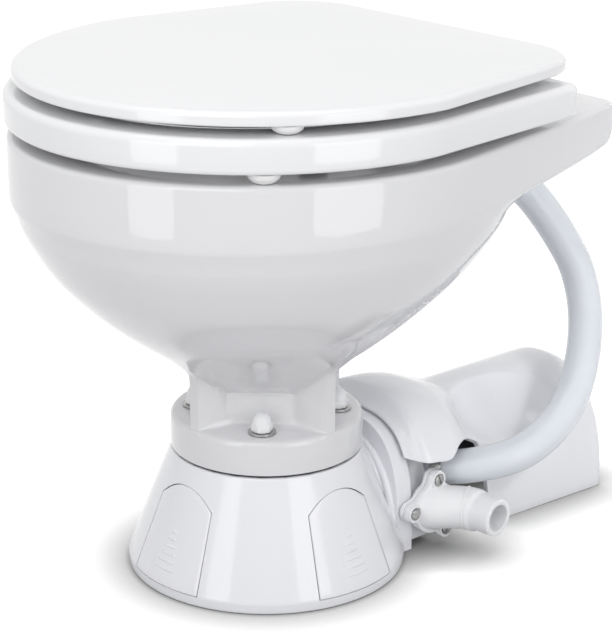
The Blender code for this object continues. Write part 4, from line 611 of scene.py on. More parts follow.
def bowlProfile(angle, top):
    # the bowl's closed section at one angle, from the throat out over the rim and back down inside
    rise = bowl["bodyTop"] - bowl["bodyBottom"]
    flange, foot = bowl["flangeRadius"], bowl["pedestalFoot"]
    waist = pedestalReach(angle)

    def bodyPoint(share):
        reach = softMax(bodyReach(angle, share), waist, bowl["blend"])
        return Vector((reach, bowl["bodyBottom"] + rise * share))

    line = roundedLine(
        [
            (bowl["throat"], bowl["flangeBottom"]),
            (flange, bowl["flangeBottom"]),
            (flange, bowl["flangeTop"]),
            (waist, bowl["flangeTop"]),
            (waist, bowl["straightTop"]),
        ],
        [0, 0.001, bowl["flangeEdge"], foot, 0],
    )
    line += [bodyPoint(bowl["bodyEnd"] * k / bowl["bodySteps"]) for k in range(bowl["bodySteps"] + 1)]
    widest = Vector((bodyReach(angle, 1), bowl["bodyTop"]))
    y = top * math.sin(angle)
    deckRun = bowl["deckRear"] + bowl["front"]
    skirtFoot = bowl["rimTop"] - bowl["skirtDrop"] + bowl["skirtRise"] * ((y + bowl["front"]) / deckRun) ** 2
    under = Vector((top, skirtFoot))
    apart = softStep(0.002, 0.025, (under - widest).length)
    climb = (widest - bodyPoint(bowl["nearTop"])).normalized()
    tail = softStep(0.185, 0.222, y)
    lead, slack = 0.012 - 0.007 * apart + 0.008 * tail, 0.005 * (1 - apart)
    first, last = widest - climb * slack, under + Vector((0, slack))
    tight = min(1 / 3, (0.005 + 0.008 * tail) / max((last - first).length, 0.001))
    line += easedLine(
        [
            widest - climb * lead,
            first,
            first.lerp(last, tight),
            last.lerp(first, tight),
            last,
            under + Vector((0, lead)),
        ]
    )
    edge, depth, wall = bowl["rimEdge"], bowl["rimTop"] - bowl["lipDepth"], bowl["wall"]
    mouth = ovalReach(angle, *bowl["mouth"], bowl["powers"])
    inner = [
        (top, skirtFoot + lead + 0.002),
        (top, bowl["rimTop"]),
        (mouth, bowl["rimTop"]),
        (mouth, depth),
        (widest.x - wall, depth - 0.002),
        (bodyReach(angle, bowl["nearTop"]) - wall, bowl["bodyBottom"] + rise * bowl["nearTop"]),
    ]
    line += roundedLine(inner, [0, edge, edge, 0.003, 0.004, 0])
    for k in range(bowl["insideSteps"] + 1):
        share = bowl["bodyEnd"] - 0.75 * k / bowl["insideSteps"]
        line.append(Vector((bodyReach(angle, share) - wall, bowl["bodyBottom"] + rise * share)))
    line.append(Vector((bowl["throat"], bowl["bodyBottom"] + 0.003)))
    return line


def makeBowl():
    outline = topOutline()
    angles = set(turns(bowl["sides"]))
    corner, middleY = bowl["deckCorner"], bowl["deckRear"] - bowl["deckCorner"]
    for k in range(9):
        turn = math.pi / 2 * k / 8
        x = bowl["deckHalfWidth"] - corner + corner * math.cos(turn)
        y = middleY + corner * math.sin(turn)
        angles |= {math.atan2(y, x), math.atan2(y, -x)}
    columns = []
    for angle in sorted(angles):
        line = bowlProfile(angle, reachOf(outline, angle))
        columns.append([atAngle(p.x, angle, p.y) for p in line])
    mesh = loft([list(ring) for ring in zip(*columns)], closed=True)
    radius, depth = bowl["spudBoss"]
    mesh = fuse(mesh, rod(radius, spudFace - spudWay * depth, spudFace, 64))
    radius, depth = bowl["spudBore"]
    mesh = cut(mesh, rod(radius, spudFace - spudWay * depth, spudFace + spudWay * 0.002))
    for side in (-1, 1):
        spot = Vector((side * hinge["x"], hinge["y"], 0))
        for (radius, low, high), steps in ((bowl["nutRecess"], 48), (bowl["boltHole"], 24)):
            mesh = cut(mesh, rod(radius, spot + upZ * low, spot + upZ * high, steps))
    piece = keep("bowlGlazed", mesh, "ceramic", "toilet", 40)
    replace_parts(piece, "bowl")


makeBowl()
print("bowl made")


# seat and lid

seat = {
    "outline": (0.1688, 0.182, -0.0056, 0.153, 0.148, 0.008),
    "edge": (0.0035, 0.0168, 0.0057, 0.0057),
    "bottom": 0.3314,
    "thickness": 0.0225,
    "lugStart": 0.130,
    "lugDepth": 0.014,
    "hole": (0.100, 0.115, 0.098),
    "holeGrowth": (0.046, 0.040, 0.032, 0.022, 0.013, 0.006, 0.0015, 0, 0, 0.0004, 0.0018, 0.003),
    "holeHeights": (0.9995, 0.985, 0.945, 0.88, 0.81, 0.73, 0.63, 0.52, 0.30, 0.16, 0.04, 0),
    "power": 1.97,
    "sides": 168,
}
lid = {
    "outline": (0.1677, 0.1753, 0.0026, 0.149, 0.1686, 0.054),
    "edge": (0.0019, 0.0055, 0.006, 0.0039),
    "bottom": 0.3605,
    "underInset": 0.006,
    "crownInsets": (0.006, 0.013, 0.0204, 0.0408, 0.08, 0.168),
    "crownHeights": (0.0094, 0.01015, 0.0108, 0.012, 0.0132, 0.014),
    "topInsets": (0.009, 0.013, 0.018, 0.024, 0.032, 0.041),
    "topShares": (0.9, 0.75, 0.6, 0.45, 0.3, 0.15, 0.05),
    "lugStart": 0.1506,
    "lugHeights": (0.0008, 0.0108),
}


def plateOutline(sizes):
    # an oval front, drawn straight back to two round corners
    halfWidth, front, middle, rearHalfWidth, rear, corner = sizes
    power = seat["power"]
    points, caught = [], []
    for angle in turns(outlineSteps):
        across, along = math.cos(angle), math.sin(angle)
        reach = (abs(across) ** power + abs(along) ** power) ** (-1 / power)
        depth = front + middle if along < 0 else rear / 2 - middle
        points.append((halfWidth * reach * across, depth * reach * along + middle))
    for side in (-1, 1):
        for turn in turns(cornerSteps):
            x = side * (rearHalfWidth - corner + corner * math.cos(turn))
            y = rear - corner + corner * math.sin(turn)
            points.append((x, y))
            if turn <= math.pi / 2:
                caught.append(math.atan2(y, x))
    outline = hullOf(points)
    near = math.pi / seat["sides"]
    angles = caught + [a for a in turns(seat["sides"]) if all(abs(a - other) > near for other in caught)]
    found = []
    for angle in sorted(angles):
        reach = reachOf(outline, angle)
        found.append(Vector((reach * math.cos(angle), reach * math.sin(angle))))
    return found, sorted(angles)


def inset(points, depth):
    moved = []
    for i, point in enumerate(points):
        run = (points[(i + 1) % len(points)] - points[i - 1]).normalized()
        moved.append(point + Vector((-run.y, run.x)) * depth)
    return moved


def edgeProfile(foot, shoulder, crest, rise):
    # (inset, height) down the side of a plate: a small round below and a wider one above
    line = [Vector((foot * 2, 0))]
    for i in range(7):
        turn = math.pi / 2 * i / 6
        line.append(Vector((foot * (1 - math.sin(turn)), foot * (1 - math.cos(turn)))))
    for i in range(10):
        turn = math.pi / 2 * i / 9
        line.append(Vector((crest * (1 - math.cos(turn)), shoulder + rise * math.sin(turn))))
    return line


def plateRings(outline, bottom, profile):
    rings = []
    for p in profile:
        rings.append([Vector((q.x, q.y, bottom + p.y)) for q in inset(outline, p.x)])
    return rings


def lug(side, inner, frontY, low, high):
    # the arm and the knuckle that carry a plate on the hinge's pin
    near, far = sorted((side * inner, side * (inner + hinge["lug"])))
    profile = [(frontY, low), (hinge["y"], low), (hinge["y"], high), (frontY, high)]
    arm = prism(profile, "X", near, far - near)
    knuckle = rod(hinge["knuckle"], (near, hinge["y"], hinge["z"]), (far, hinge["y"], hinge["z"]), 48)
    return arm, knuckle


def makeSeat():
    outline, angles = plateOutline(seat["outline"])
    bottom = seat["bottom"]
    rings = plateRings(outline, bottom, edgeProfile(*seat["edge"]))
    for grown, share in zip(seat["holeGrowth"], seat["holeHeights"]):
        ring = []
        wide, front, rear = (size + grown for size in seat["hole"])
        height = bottom + share * seat["thickness"]
        for angle in angles:
            reach = ovalReach(angle, wide, front, rear, bowl["powers"])
            ring.append(atAngle(reach, angle, height))
        rings.append(ring)
    mesh = loft(rings, closed=True)
    start = hinge["x"] - hinge["post"] / 2 - hinge["lugGap"] - hinge["lug"]
    for side in (-1, 1):
        mesh = fuse(mesh, *lug(side, start, seat["lugStart"], hinge["z"] - seat["lugDepth"], hinge["z"]))
    piece = keep("seatEnamelled", mesh, "enamel", "seat", 38)
    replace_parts(piece, "seat")


def makeLid():
    outline, _ = plateOutline(lid["outline"])
    bottom, insets = lid["bottom"], lid["crownInsets"]
    profile = edgeProfile(*lid["edge"])
    profile += [Vector((depth, steady(insets, lid["crownHeights"], depth))) for depth in lid["topInsets"]]
    rings = plateRings(outline, bottom, profile)
    under = [Vector((p.x, p.y, bottom)) for p in inset(outline, lid["underInset"])]
    rings = [[Vector((p.x * k, p.y * k, bottom)) for p in under] for k in (0.05, 0.5, 0.9)] + [under] + rings
    edge = rings[-1]
    middle, run = insets[-1], insets[-1] - lid["topInsets"][-1]
    for share in lid["topShares"]:
        height = bottom + steady(insets, lid["crownHeights"], middle - run * share)
        rings.append([Vector((p.x * share, p.y * share, height)) for p in edge])
    mesh = loft(rings)
    start = hinge["x"] + hinge["post"] / 2 + hinge["lugGap"]
    low, high = (hinge["z"] + height for height in lid["lugHeights"])
    for side in (-1, 1):
        mesh = fuse(mesh, *lug(side, start, lid["lugStart"], low, high))
    piece = keep("lidEnamelled", mesh, "enamel", "lid", 38)
    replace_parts(piece, "lid")


bumper = {
    "radius": 0.0105,
    "foot": 0.0065,
    "seatFront": (0.120624, -0.108199),
    "seatBack": (0.105, 0.135),
    "seatHeight": 0.0068,
    "seatZ": 0.3243,
    "lid": (0.125925, -0.093912),
    "lidHeight": 0.0060,
    "lidZ": 0.3542,
}


def makeBumper(name, spot, height, body):
    # a soft white button, wide at the plate and rounded where it lands
    radius, foot = bumper["radius"], bumper["foot"]
    points = [(0, 0), (foot, 0), (radius, height * 0.55), (radius, height), (0, height)]
    mesh = turned(roundedLine(points, [0, 0.003, 0.0022, 0.0003, 0]), 48, start=spot)
    return keep(name, mesh, "bumper", body, 60)


makeSeat()
makeLid()
seatSpots = [(side * x, y) for x, y in (bumper["seatFront"], bumper["seatBack"]) for side in (1, -1)]
for number, (x, y) in enumerate(seatSpots, start=1):
    piece = makeBumper(f"seatBumper{number}", (x, y, bumper["seatZ"]), bumper["seatHeight"], "seat")
    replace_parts(piece, f"seat_bumper_{number}")
for number, side in enumerate((1, -1), start=1):
    x, y = bumper["lid"]
    piece = makeBumper(f"lidBumper{number}", (side * x, y, bumper["lidZ"]), bumper["lidHeight"], "lid")
    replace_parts(piece, f"lid_bumper_{number}")
print("seat and lid made")


def makeHinges():
    y, z = hinge["y"], hinge["z"]
    half, depth = hinge["post"] / 2, hinge["postDepth"] / 2
    reach = half + hinge["lugGap"] + hinge["lug"]
    low, high = hinge["wingHeights"]
    for side, word in ((-1, "left"), (1, "right")):
        x = side * hinge["x"]
        foot = collar(0, hinge["footRadius"], hinge["foot"], (0.0004, 0.0012), 64, (x, y, hinge["footZ"]))
        stem = block((x - half, y - depth, hinge["stemZ"]), (x + half, y + depth, z))
        eye = rod(hinge["knuckle"], (x - half, y, z), (x + half, y, z))
        post = keep(f"hingePost{word.title()}", fuse(foot, stem, eye), "nylon", "toilet")
        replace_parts(post, f"hinge_post_{word}")
        bar = collar(0, hinge["pin"], 2 * reach, (0.0008, 0.0008), 32, (x - reach, y, z), alongX)
        pin = keep(f"hingePin{word.title()}", bar, "steel", "toilet")
        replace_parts(pin, f"hinge_pin_{word}")
        barrel = collar(*hinge["nut"], (0.0015, 0.0006), 40, (x, y, hinge["nutZ"]))
        wings = []
        for way in (-1, 1):
            near, far = sorted(x + way * reached for reached in hinge["wing"])
            wings.append(block((near, y - hinge["wingHalf"], low), (far, y + hinge["wingHalf"], high)))
        nut = keep(f"hingeNut{word.title()}", rounded(joined(barrel, *wings), 0.0004), "nylon", "toilet")
        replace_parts(nut, f"hinge_nut_{word}")


makeHinges()
print("hinges made")


# base housing and its bolt covers

base = {
    "height": 0.088,
    "footRadius": 0.100,
    "topRadius": 0.0685,
    "band": 0.008,
    "sides": 192,
    "beadY": 0.0692,
    "beadRadius": 0.003,
    "coverHalfAngle": math.radians(19.5),
    "coverFoot": 0.008,
    "coverShoulder": 0.062,
    "coverPeak": 0.074,
    "coverThickness": 0.003,
    "coverGap": 0.0006,
    "barHeights": (0.0435, 0.0385, 0.0335, 0.0285, 0.0235, 0.0185),
    "barHalfWidths": (0.0028, 0.0044, 0.0060, 0.0076, 0.0092, 0.0108),
    "barRadius": 0.0013,
    "neck": (0.058, 0.084, 2.6, (0.020, 0.0705)),
    "collar": (0.064, 0.097, 3.2, (0.0705, 0.085)),
    "sump": (0.044, 0.012, 0.09),
    "passage": (0.033, 0.046, 0.02, 0.087),
    "pocketDepth": 0.062,
    "boltCircle": 0.084,
    "boltHole": 0.0045,
    "coreInner": 0.054,
    "coreTop": 0.060,
    "wall": 0.005,
    "bead": (0.0605, 0.0835, 2.6),
}


def coneRadius(z):
    share = min(max((z - base["band"]) / (base["height"] - base["band"]), 0), 1)
    return base["footRadius"] + (base["topRadius"] - base["footRadius"]) * share


def conePatch(centre, halfAngle, innerAt, outerAt, low, highAt, steps=24, levels=12):
    # a solid piece of the cone's wall, with its top edge given across its width
    bm = bmesh.new()
    grids = []
    for radiusAt in (innerAt, outerAt):
        grid = []
        for i in range(steps + 1):
            side = 2 * i / steps - 1
            angle = centre + side * halfAngle
            top = highAt(abs(side))
            column = []
            for k in range(levels + 1):
                z = low + (top - low) * k / levels
                column.append(bm.verts.new(atAngle(radiusAt(z), angle, z)))
            grid.append(column)
        grids.append(grid)
    inside, outside = grids
    for grid in grids:
        for i in range(steps):
            for k in range(levels):
                bm.faces.new((grid[i][k], grid[i + 1][k], grid[i + 1][k + 1], grid[i][k + 1]))
    for i in range(steps):
        for k in (0, levels):
            bm.faces.new((inside[i][k], inside[i + 1][k], outside[i + 1][k], outside[i][k]))
    for i in (0, steps):
        for k in range(levels):
            bm.faces.new((inside[i][k], inside[i][k + 1], outside[i][k + 1], outside[i][k]))
    return meshOf(bm)


def coverTop(side, grown=0.0):
    return base["coverShoulder"] + (base["coverPeak"] - base["coverShoulder"]) * (1 - side**2.2) + grown


def makeBase():
    foot, height = base["footRadius"], base["height"]
    profile = roundedLine(
        [(0, 0), (foot - 0.0005, 0), (foot, base["band"]), (base["topRadius"], height), (0, height)],
        [0, 0.0022, 0.0015, 0.0012, 0],
        6,
    )
    mesh = turned(profile, base["sides"])
    for half, top, power, places in (base["neck"], base["collar"]):
        mesh = fuse(mesh, loft([arch(y, half, half, top, power) for y in places]))
    radius, low, high = base["sump"]
    mesh = cut(mesh, rod(radius, (0, 0, low), (0, 0, high), 64))
    radius, z, start, end = base["passage"]
    mesh = cut(mesh, rod(radius, (0, start, z), (0, end, z), 64))
    mesh = cut(mesh, block((-0.07, 0.085, -0.002), (0.07, 0.102, 0.099)))
    gap = base["coverGap"]
    for angle in (-math.pi / 2, 0.0, math.pi):
        pocket = conePatch(
            angle,
            base["coverHalfAngle"] + gap / base["topRadius"],
            lambda z: base["pocketDepth"],
            lambda z: coneRadius(z) + 0.002,
            base["coverFoot"] - gap,
            lambda side: coverTop(side, gap),
        )
        spot = atAngle(base["boltCircle"], angle, 0)
        mesh = cut(mesh, pocket, rod(base["boltHole"], spot - upZ * 0.002, spot + upZ * 0.01, 32))
    rib = base["wall"] / base["sump"][0]
    frontHalf = math.pi / 4 - base["coverHalfAngle"] - rib
    rearMiddle = (base["coverHalfAngle"] + rib + math.pi / 4) / 2
    cores = [(-math.pi / 4, frontHalf), (-3 * math.pi / 4, frontHalf)]
    cores += [(rearMiddle, frontHalf / 2), (math.pi - rearMiddle, frontHalf / 2)]
    for angle, half in cores:
        core = conePatch(
            angle,
            half,
            lambda z: base["coreInner"],
            lambda z: coneRadius(z) - base["wall"],
            -0.002,
            lambda side: base["coreTop"],
            levels=4,
        )
        mesh = cut(mesh, core)
    half, top, power = base["bead"]
    ridge = arch(base["beadY"], half, half, top, power)
    bead = loft(sweep(ridge, [base["beadRadius"]] * len(ridge), 20, alongY))
    piece = keep("baseMoulded", joined(mesh, bead), "plastic", "toilet", 30)
    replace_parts(piece, "base_housing")


def makeCover(word, angle):
    # a snap-in panel with six raised grip bars that widen downwards
    panel = conePatch(
        angle,
        base["coverHalfAngle"],
        lambda z: coneRadius(z) - base["coverThickness"],
        coneRadius,
        base["coverFoot"],
        coverTop,
    )
    panel = rounded(panel, 0.0005, 2, 60)
    bars = []
    for height, half in zip(base["barHeights"], base["barHalfWidths"]):
        radius = coneRadius(height)
        rings = []
        for k in range(17):
            share = 2 * k / 16 - 1
            turn = angle + share * half / radius
            thick = base["barRadius"] * math.sqrt(max(1 - share**6, 0.02))
            ring = []
            for around in turns(10):
                out = radius - 0.0003 + thick * 0.75 * math.cos(around)
                ring.append(atAngle(out, turn, height + thick * 0.8 * math.sin(around)))
            rings.append(ring)
        bars.append(loft(rings))
    piece = keep(f"boltCover{word.title()}", joined(panel, *bars), "plastic", "toilet", 50)
    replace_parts(piece, f"bolt_cover_{word}")


makeBase()
for word, angle in (("front", -math.pi / 2), ("right", 0.0), ("left", math.pi)):
    makeCover(word, angle)
print("base made")


# bolts that hold the bowl to its base

fixing = {
    "circle": 0.0505,
    "bore": 0.0034,
    "washerZ": 0.1153,
    "washer": (0.0098, 0.0014),
    "nutZ": 0.117,
    "nutRadius": 0.0078,
    "hexHeight": 0.0048,
    "domeRadii": (0, 0.0067, 0.0067, 0.0064, 0.0056, 0.0042, 0.0022, 0),
    "domeHeights": (0, 0, 0.0045, 0.0072, 0.0097, 0.0117, 0.0128, 0.013),
}


def makeFixings():
    reach = fixing["circle"] * math.sqrt(0.5)
    for number, (sideX, sideY) in enumerate(((1, -1), (-1, -1), (1, 1), (-1, 1)), start=1):
        spot = Vector((sideX * reach, sideY * reach, 0))
        start = spot + upZ * fixing["washerZ"]
        washer = collar(fixing["bore"], *fixing["washer"], (0.0004, 0.0004), 48, start)
        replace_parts(keep(f"bowlWasher{number}", washer, "steel", "toilet"), f"bowl_washer_{number}")
        radius = fixing["nutRadius"]
        outline = [(spot.x + radius * math.cos(a), spot.y + radius * math.sin(a)) for a in turns(6)]
        hexagon = rounded(prism(outline, "Z", fixing["nutZ"], fixing["hexHeight"]), 0.0005)
        cap = list(zip(fixing["domeRadii"], fixing["domeHeights"]))
        dome = turned(cap, 40, start=spot + upZ * fixing["nutZ"])
        nut = keep(f"bowlNut{number}", joined(hexagon, dome), "nylon", "toilet", 50)
        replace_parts(nut, f"bowl_nut_{number}")


makeFixings()
print("fixings made")


# motor cover: one moulded shell, a hood in front and a long body behind

shell = {
    "wall": 0.003,
    "front": 0.080,
    "hoodLeft": 0.0668,
    "hoodRight": 0.088,
    "hoodTop": 0.115,
    "hoodEnd": 0.152,
    "lengths": (0, 0.055, 0.1, 0.17, 0.33, 0.52, 0.70, 0.86, 1),
    "lefts": (1.0075, 1.005, 1, 1, 0.99, 0.97, 0.9, 0.81, 0.71),
    "rights": (0.765, 0.80, 0.89, 0.965, 1, 1, 0.96, 0.87, 0.74),
    "tops": (0.872, 0.89, 0.93, 0.975, 0.992, 0.978, 0.942, 0.9, 0.85),
    "powers": (3.4, 3.2, 3, 2.6, 2.35, 2.35, 2.35, 2.4, 2.4),
    "bodyFront": 0.128,
    "back": 0.283,
    "bodyLeft": 0.048,
    "bodyRight": 0.0775,
    "narrow": 0.0085,
    "bodyTop": 0.0955,
    "edge": 0.006,
    "scoop": (0.095, 0.195, 0.112),
    "scoopRadii": (0.080, 0.072, 0.062),
    "scoopLimit": 1.25,
    "scoopBlend": 0.06,
    "edgePlaces": (
        *(0.080, 0.084, 0.089, 0.098, 0.107, 0.112, 0.1165),
        *(0.121, 0.126, 0.132, 0.141, 0.150, 0.156, 0.160),
    ),
    "edgeHeights": (
        *(0.0723, 0.0703, 0.0697, 0.0691, 0.0678, 0.0682, 0.0705),
        *(0.0732, 0.0745, 0.0747, 0.0724, 0.0691, 0.066, 0.062),
    ),
    "openingBack": 0.1585,
    "leftOpeningBack": 0.145,
    "footGap": 0.0005,
    "cableX": -0.02,
    "cableRadius": 0.007,
    "cableDepth": 0.014,
    "steps": 88,
    "spacing": 0.0018,
    "fineSpacing": 0.0005,
    "backShares": (0.85, 0.7, 0.5, 0.3, 0.12),
}


def shellSection(y):
    # left and right reach, top and power of the shell's section at a place along it
    share = (y - shell["front"]) / (shell["hoodEnd"] - shell["front"])
    along = min(max((y - shell["bodyFront"]) / (shell["back"] - shell["edge"] - shell["bodyFront"]), 0), 1)
    body = (shell["bodyLeft"], shell["bodyRight"] - shell["narrow"] * (1 - along), shell["bodyTop"])
    fade = min(max((share - 1) / 0.35, 0), 1)
    found = []
    for size, shares in (("hoodLeft", "lefts"), ("hoodRight", "rights"), ("hoodTop", "tops")):
        found.append(shell[size] * (steady(shell["lengths"], shell[shares], min(share, 1)) - 0.3 * fade))
    power = steady(shell["lengths"], shell["powers"], min(share, 1))
    if y >= shell["bodyFront"]:
        grown = softStep(shell["bodyFront"], shell["bodyFront"] + 0.02, y)
        found = [softMax(a, b * (0.8 + 0.2 * grown), 0.006 * grown) for a, b in zip(found, body)]
    return *found, power


def lowerEdge(y, back):
    # height of the shell's lower edge, which is cut away in front and arched over the hose
    opened = 1 - softStep(back - 0.002, back + 0.002, y)
    height = steady(shell["edgePlaces"], shell["edgeHeights"], min(y, shell["edgePlaces"][-1]))
    return shell["footGap"] + (height - shell["footGap"]) * opened


def scooped(point):
    # pushes a point of the shell out of the hollow that the hose passes through
    middle = Vector(shell["scoop"])
    radii = shell["scoopRadii"]
    offset = Vector([(point[i] - middle[i]) / radii[i] for i in range(3)])
    reach = offset.length
    if reach > shell["scoopLimit"]:
        return point
    offset *= softMax(reach, 1.0, shell["scoopBlend"]) / max(reach, 0.001)
    return Vector([middle[i] + offset[i] * radii[i] for i in range(3)])


def shellRing(y, pulled):
    # one section of the shell between its two lower edges
    left, right, top, power = shellSection(y)
    left, right, top = left - pulled, right - pulled, top - pulled
    ends = []
    for back in (shell["openingBack"], shell["leftOpeningBack"]):
        edge = min(lowerEdge(y, back), top * 0.98)
        ends.append(math.asin((edge / top) ** (power / 2)))
    ring = arch(y, left, right, top, power, 0.0, shell["steps"], ends[0], math.pi - ends[1])
    return [scooped(p) for p in ring]


def makeShell():
    rings = []
    y, edge, foot = shell["front"], shell["edge"], shell["footGap"]
    while y < shell["back"] - edge:
        rings.append(shellRing(y, 0.0))
        nearEdge = min(abs(y - shell["openingBack"]), abs(y - shell["leftOpeningBack"])) < 0.0035
        y += shell["fineSpacing"] if nearEdge else shell["spacing"]
    for k in range(1, 7):
        turn = math.pi / 2 * k / 6
        rings.append(shellRing(shell["back"] - edge + edge * math.sin(turn), edge * (1 - math.cos(turn))))
    last = rings[-1]
    for share in shell["backShares"]:
        rings.append([Vector((p.x * share, p.y, foot + (p.z - foot) * share)) for p in last])
    bm = bmesh.new()
    rows = [[bm.verts.new(p) for p in ring] for ring in rings]
    for low, high in zip(rows, rows[1:]):
        for i in range(len(low) - 1):
            bm.faces.new((low[i], high[i], high[i + 1], low[i + 1]))
    bm.faces.new(rows[-1])
    bmesh.ops.remove_doubles(bm, verts=bm.verts, dist=0.00002)
    piece = linked("helper", meshOf(bm))
    shellWall = piece.modifiers.new("wall", "SOLIDIFY")
    shellWall.thickness = shell["wall"]
    shellWall.offset = -1
    shellWall.use_even_offset = False
    mesh = settled(piece)
    slotBack = Vector((shell["cableX"], shell["back"] + 0.002, 0))
    mesh = cut(mesh, rod(shell["cableRadius"], slotBack - alongY * shell["cableDepth"], slotBack, 32))
    mesh = rounded(mesh, 0.0007, 2, 65)
    piece = keep("motorCoverMoulded", mesh, "plastic", "toilet", 45)
    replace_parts(piece, "motor_cover")


makeShell()
print("motor cover made")


# macerator housing and discharge elbow

elbow = {
    "port": (0.100, 0.0314),
    "face": 0.0683,
    "disc": 0.0195,
    "lobe": 0.0072,
    "circle": 0.0218,
    "thickness": 0.0048,
    "angles": (86, 176, 299),
    "body": 0.0158,
    "tail": 0.0138,
    "bodyLength": 0.025,
    "tailLength": 0.031,
    "tailAngle": 5,
    "bore": 0.010,
    "screwHead": (0.0042, 0.0022),
    "slotTurns": (20, 65, -35),
    "slotHalf": (0.0006, 0.006),
    "bend": 45,
    "bendSteps": 24,
    "boss": (0.005, 0.0018),
    "padStart": 0.0646,
    "padThickness": 0.0034,
}
macerator = {
    "front": 0.0853,
    "back": 0.108,
    "halfWidth": 0.060,
    "top": 0.080,
    "power": 3,
    "floor": 0.004,
    "portCore": (0.013, 0.03, 0.0649),
}


def polar(reach, degrees):
    turn = math.radians(degrees)
    return reach * math.cos(turn), reach * math.sin(turn)


def lobeOutline(count=96):
    # a round flange with a lobe at each screw, its corners softened
    y, z = elbow["port"]
    outline = []
    for angle in turns(count):
        reach = elbow["disc"]
        for degrees in elbow["angles"]:
            turn = math.radians(degrees)
            ahead = elbow["circle"] * math.cos(angle - turn)
            aside = elbow["circle"] * math.sin(angle - turn)
            radius = elbow["lobe"]
            if ahead > 0 and abs(aside) < radius:
                reach = max(reach, ahead + math.sqrt(radius**2 - aside**2))
        outline.append((angle, reach))
    smooth = []
    for k, (angle, reach) in enumerate(outline):
        weighed = ((-2, 1), (-1, 2), (0, 2), (1, 2), (2, 1))
        mean = sum(outline[(k + d) % count][1] * weight for d, weight in weighed) / 8
        smooth.append((angle, max(reach, mean)))
    return [(y + r * math.cos(a), z + r * math.sin(a)) for a, r in smooth]


def makeElbow():
    y, z = elbow["port"]
    x = elbow["face"]
    thick = elbow["thickness"]
    plate = rounded(prism(lobeOutline(), "X", x, thick), 0.0008, 3, 60)
    root = Vector((x, y, z))
    bend = root + Vector((*polar(elbow["bodyLength"], elbow["bend"]), 0))
    tailWay = Vector((*polar(1, elbow["tailAngle"]), 0))
    end = bend + tailWay * elbow["tailLength"]
    start = root + alongX * thick * 0.5
    line, radii = [], []
    body, tail = elbow["body"], elbow["tail"]
    for k in range(elbow["bendSteps"] + 1):
        t = k / elbow["bendSteps"]
        line.append(start.lerp(bend, t).lerp(bend.lerp(bend + tailWay * 0.008, t), t))
        radii.append(body)
    first = line[-1]
    run = (end - first).length
    for share, radius in (
        (0.05, body),
        (0.10, body * 0.995),
        (0.16, body * 0.98),
        (0.20, tail * 1.04),
        (0.24, tail * 1.005),
        (0.30, tail),
        (0.60, tail),
        (0.90, tail),
        (0.965, tail),
        (0.99, tail - 0.0004),
        (1.0, tail - 0.0011),
        (1.0, elbow["bore"] + 0.0006),
        (0.985, elbow["bore"] + 0.0001),
        (0.9, elbow["bore"]),
        (0.5, elbow["bore"]),
        (0.02, elbow["bore"]),
    ):
        line.append(first + tailWay * run * share)
        radii.append(radius)
    rings = []
    for k, (centre, radius) in enumerate(zip(line, radii)):
        run = (line[k + 1] - line[max(k - 1, 0)]).normalized() if k < elbow["bendSteps"] else tailWay
        way = alongX.lerp(run, softStep(0, 8, k)).normalized()
        wide = radius * (1 + 0.08 * (1 - softStep(0, 7, k)))
        long = wide * min(1 / way.dot(run), 1.18)
        other = way.cross(upZ)
        rings.append([centre + upZ * math.cos(a) * wide + other * math.sin(a) * long for a in turns(56)])
    tube = loft(rings)
    seam = []
    for k in range(9):
        around = math.pi * k / 8
        seam.append((body + 0.0007 * math.sin(around), 0.0006 * -math.cos(around)))
    spot = line[17]
    way = (line[18] - line[16]).normalized()
    ring = turned([(body - 0.001, -0.0006)] + seam + [(body - 0.001, 0.0006)], 56, start=spot, direction=way)
    bosses = []
    for degrees in elbow["angles"]:
        along, up = polar(elbow["circle"], degrees)
        inner, height = elbow["boss"]
        spot = (x + thick - 0.0002, y + along, z + up)
        bosses.append(collar(inner, elbow["lobe"] - 0.0004, height, (0, 0.0006), 40, spot, alongX))
    piece = keep("dischargeElbowMoulded", joined(plate, tube, ring, *bosses), "nylon", "toilet", 45)
    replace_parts(piece, "discharge_elbow")
    radius, height = elbow["screwHead"]
    halfX, halfY = elbow["slotHalf"]
    for number, (degrees, slotTurn) in enumerate(zip(elbow["angles"], elbow["slotTurns"]), start=1):
        along, up = polar(elbow["circle"], degrees)
        spot = Vector((x + thick + 0.0003, y + along, z + up))
        head = collar(0, radius, height, (0.0002, 0.0012), 40, spot, alongX)
        slot = block((-halfX, -halfY, height / 2), (halfX, halfY, height + 0.002))
        lying = alongX.to_track_quat("Z", "Y").to_matrix().to_4x4()
        slot.transform(Matrix.Translation(spot) @ lying @ Matrix.Rotation(math.radians(slotTurn), 4, "Z"))
        piece = keep(f"elbowScrew{number}", cut(head, slot), "steel", "toilet")
        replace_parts(piece, f"elbow_screw_{number}")


def makeMacerator():
    half = macerator["halfWidth"]
    sizes = (half, half, macerator["top"], macerator["power"], macerator["floor"])
    mesh = rounded(loft([arch(y, *sizes) for y in (macerator["front"], macerator["back"])]), 0.0015, 3, 50)
    y, z = elbow["port"]
    radius, start, end = macerator["portCore"]
    core = rod(radius, (start, y, z), (end, y, z))
    pad = rounded(prism(lobeOutline(), "X", elbow["padStart"], elbow["padThickness"]), 0.0006, 2, 60)
    piece = keep("maceratorMoulded", joined(mesh, core, pad), "plastic", "toilet", 45)
    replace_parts(piece, "macerator_housing")


makeMacerator()
makeElbow()
print("discharge side made")


# flush hose and its clamps

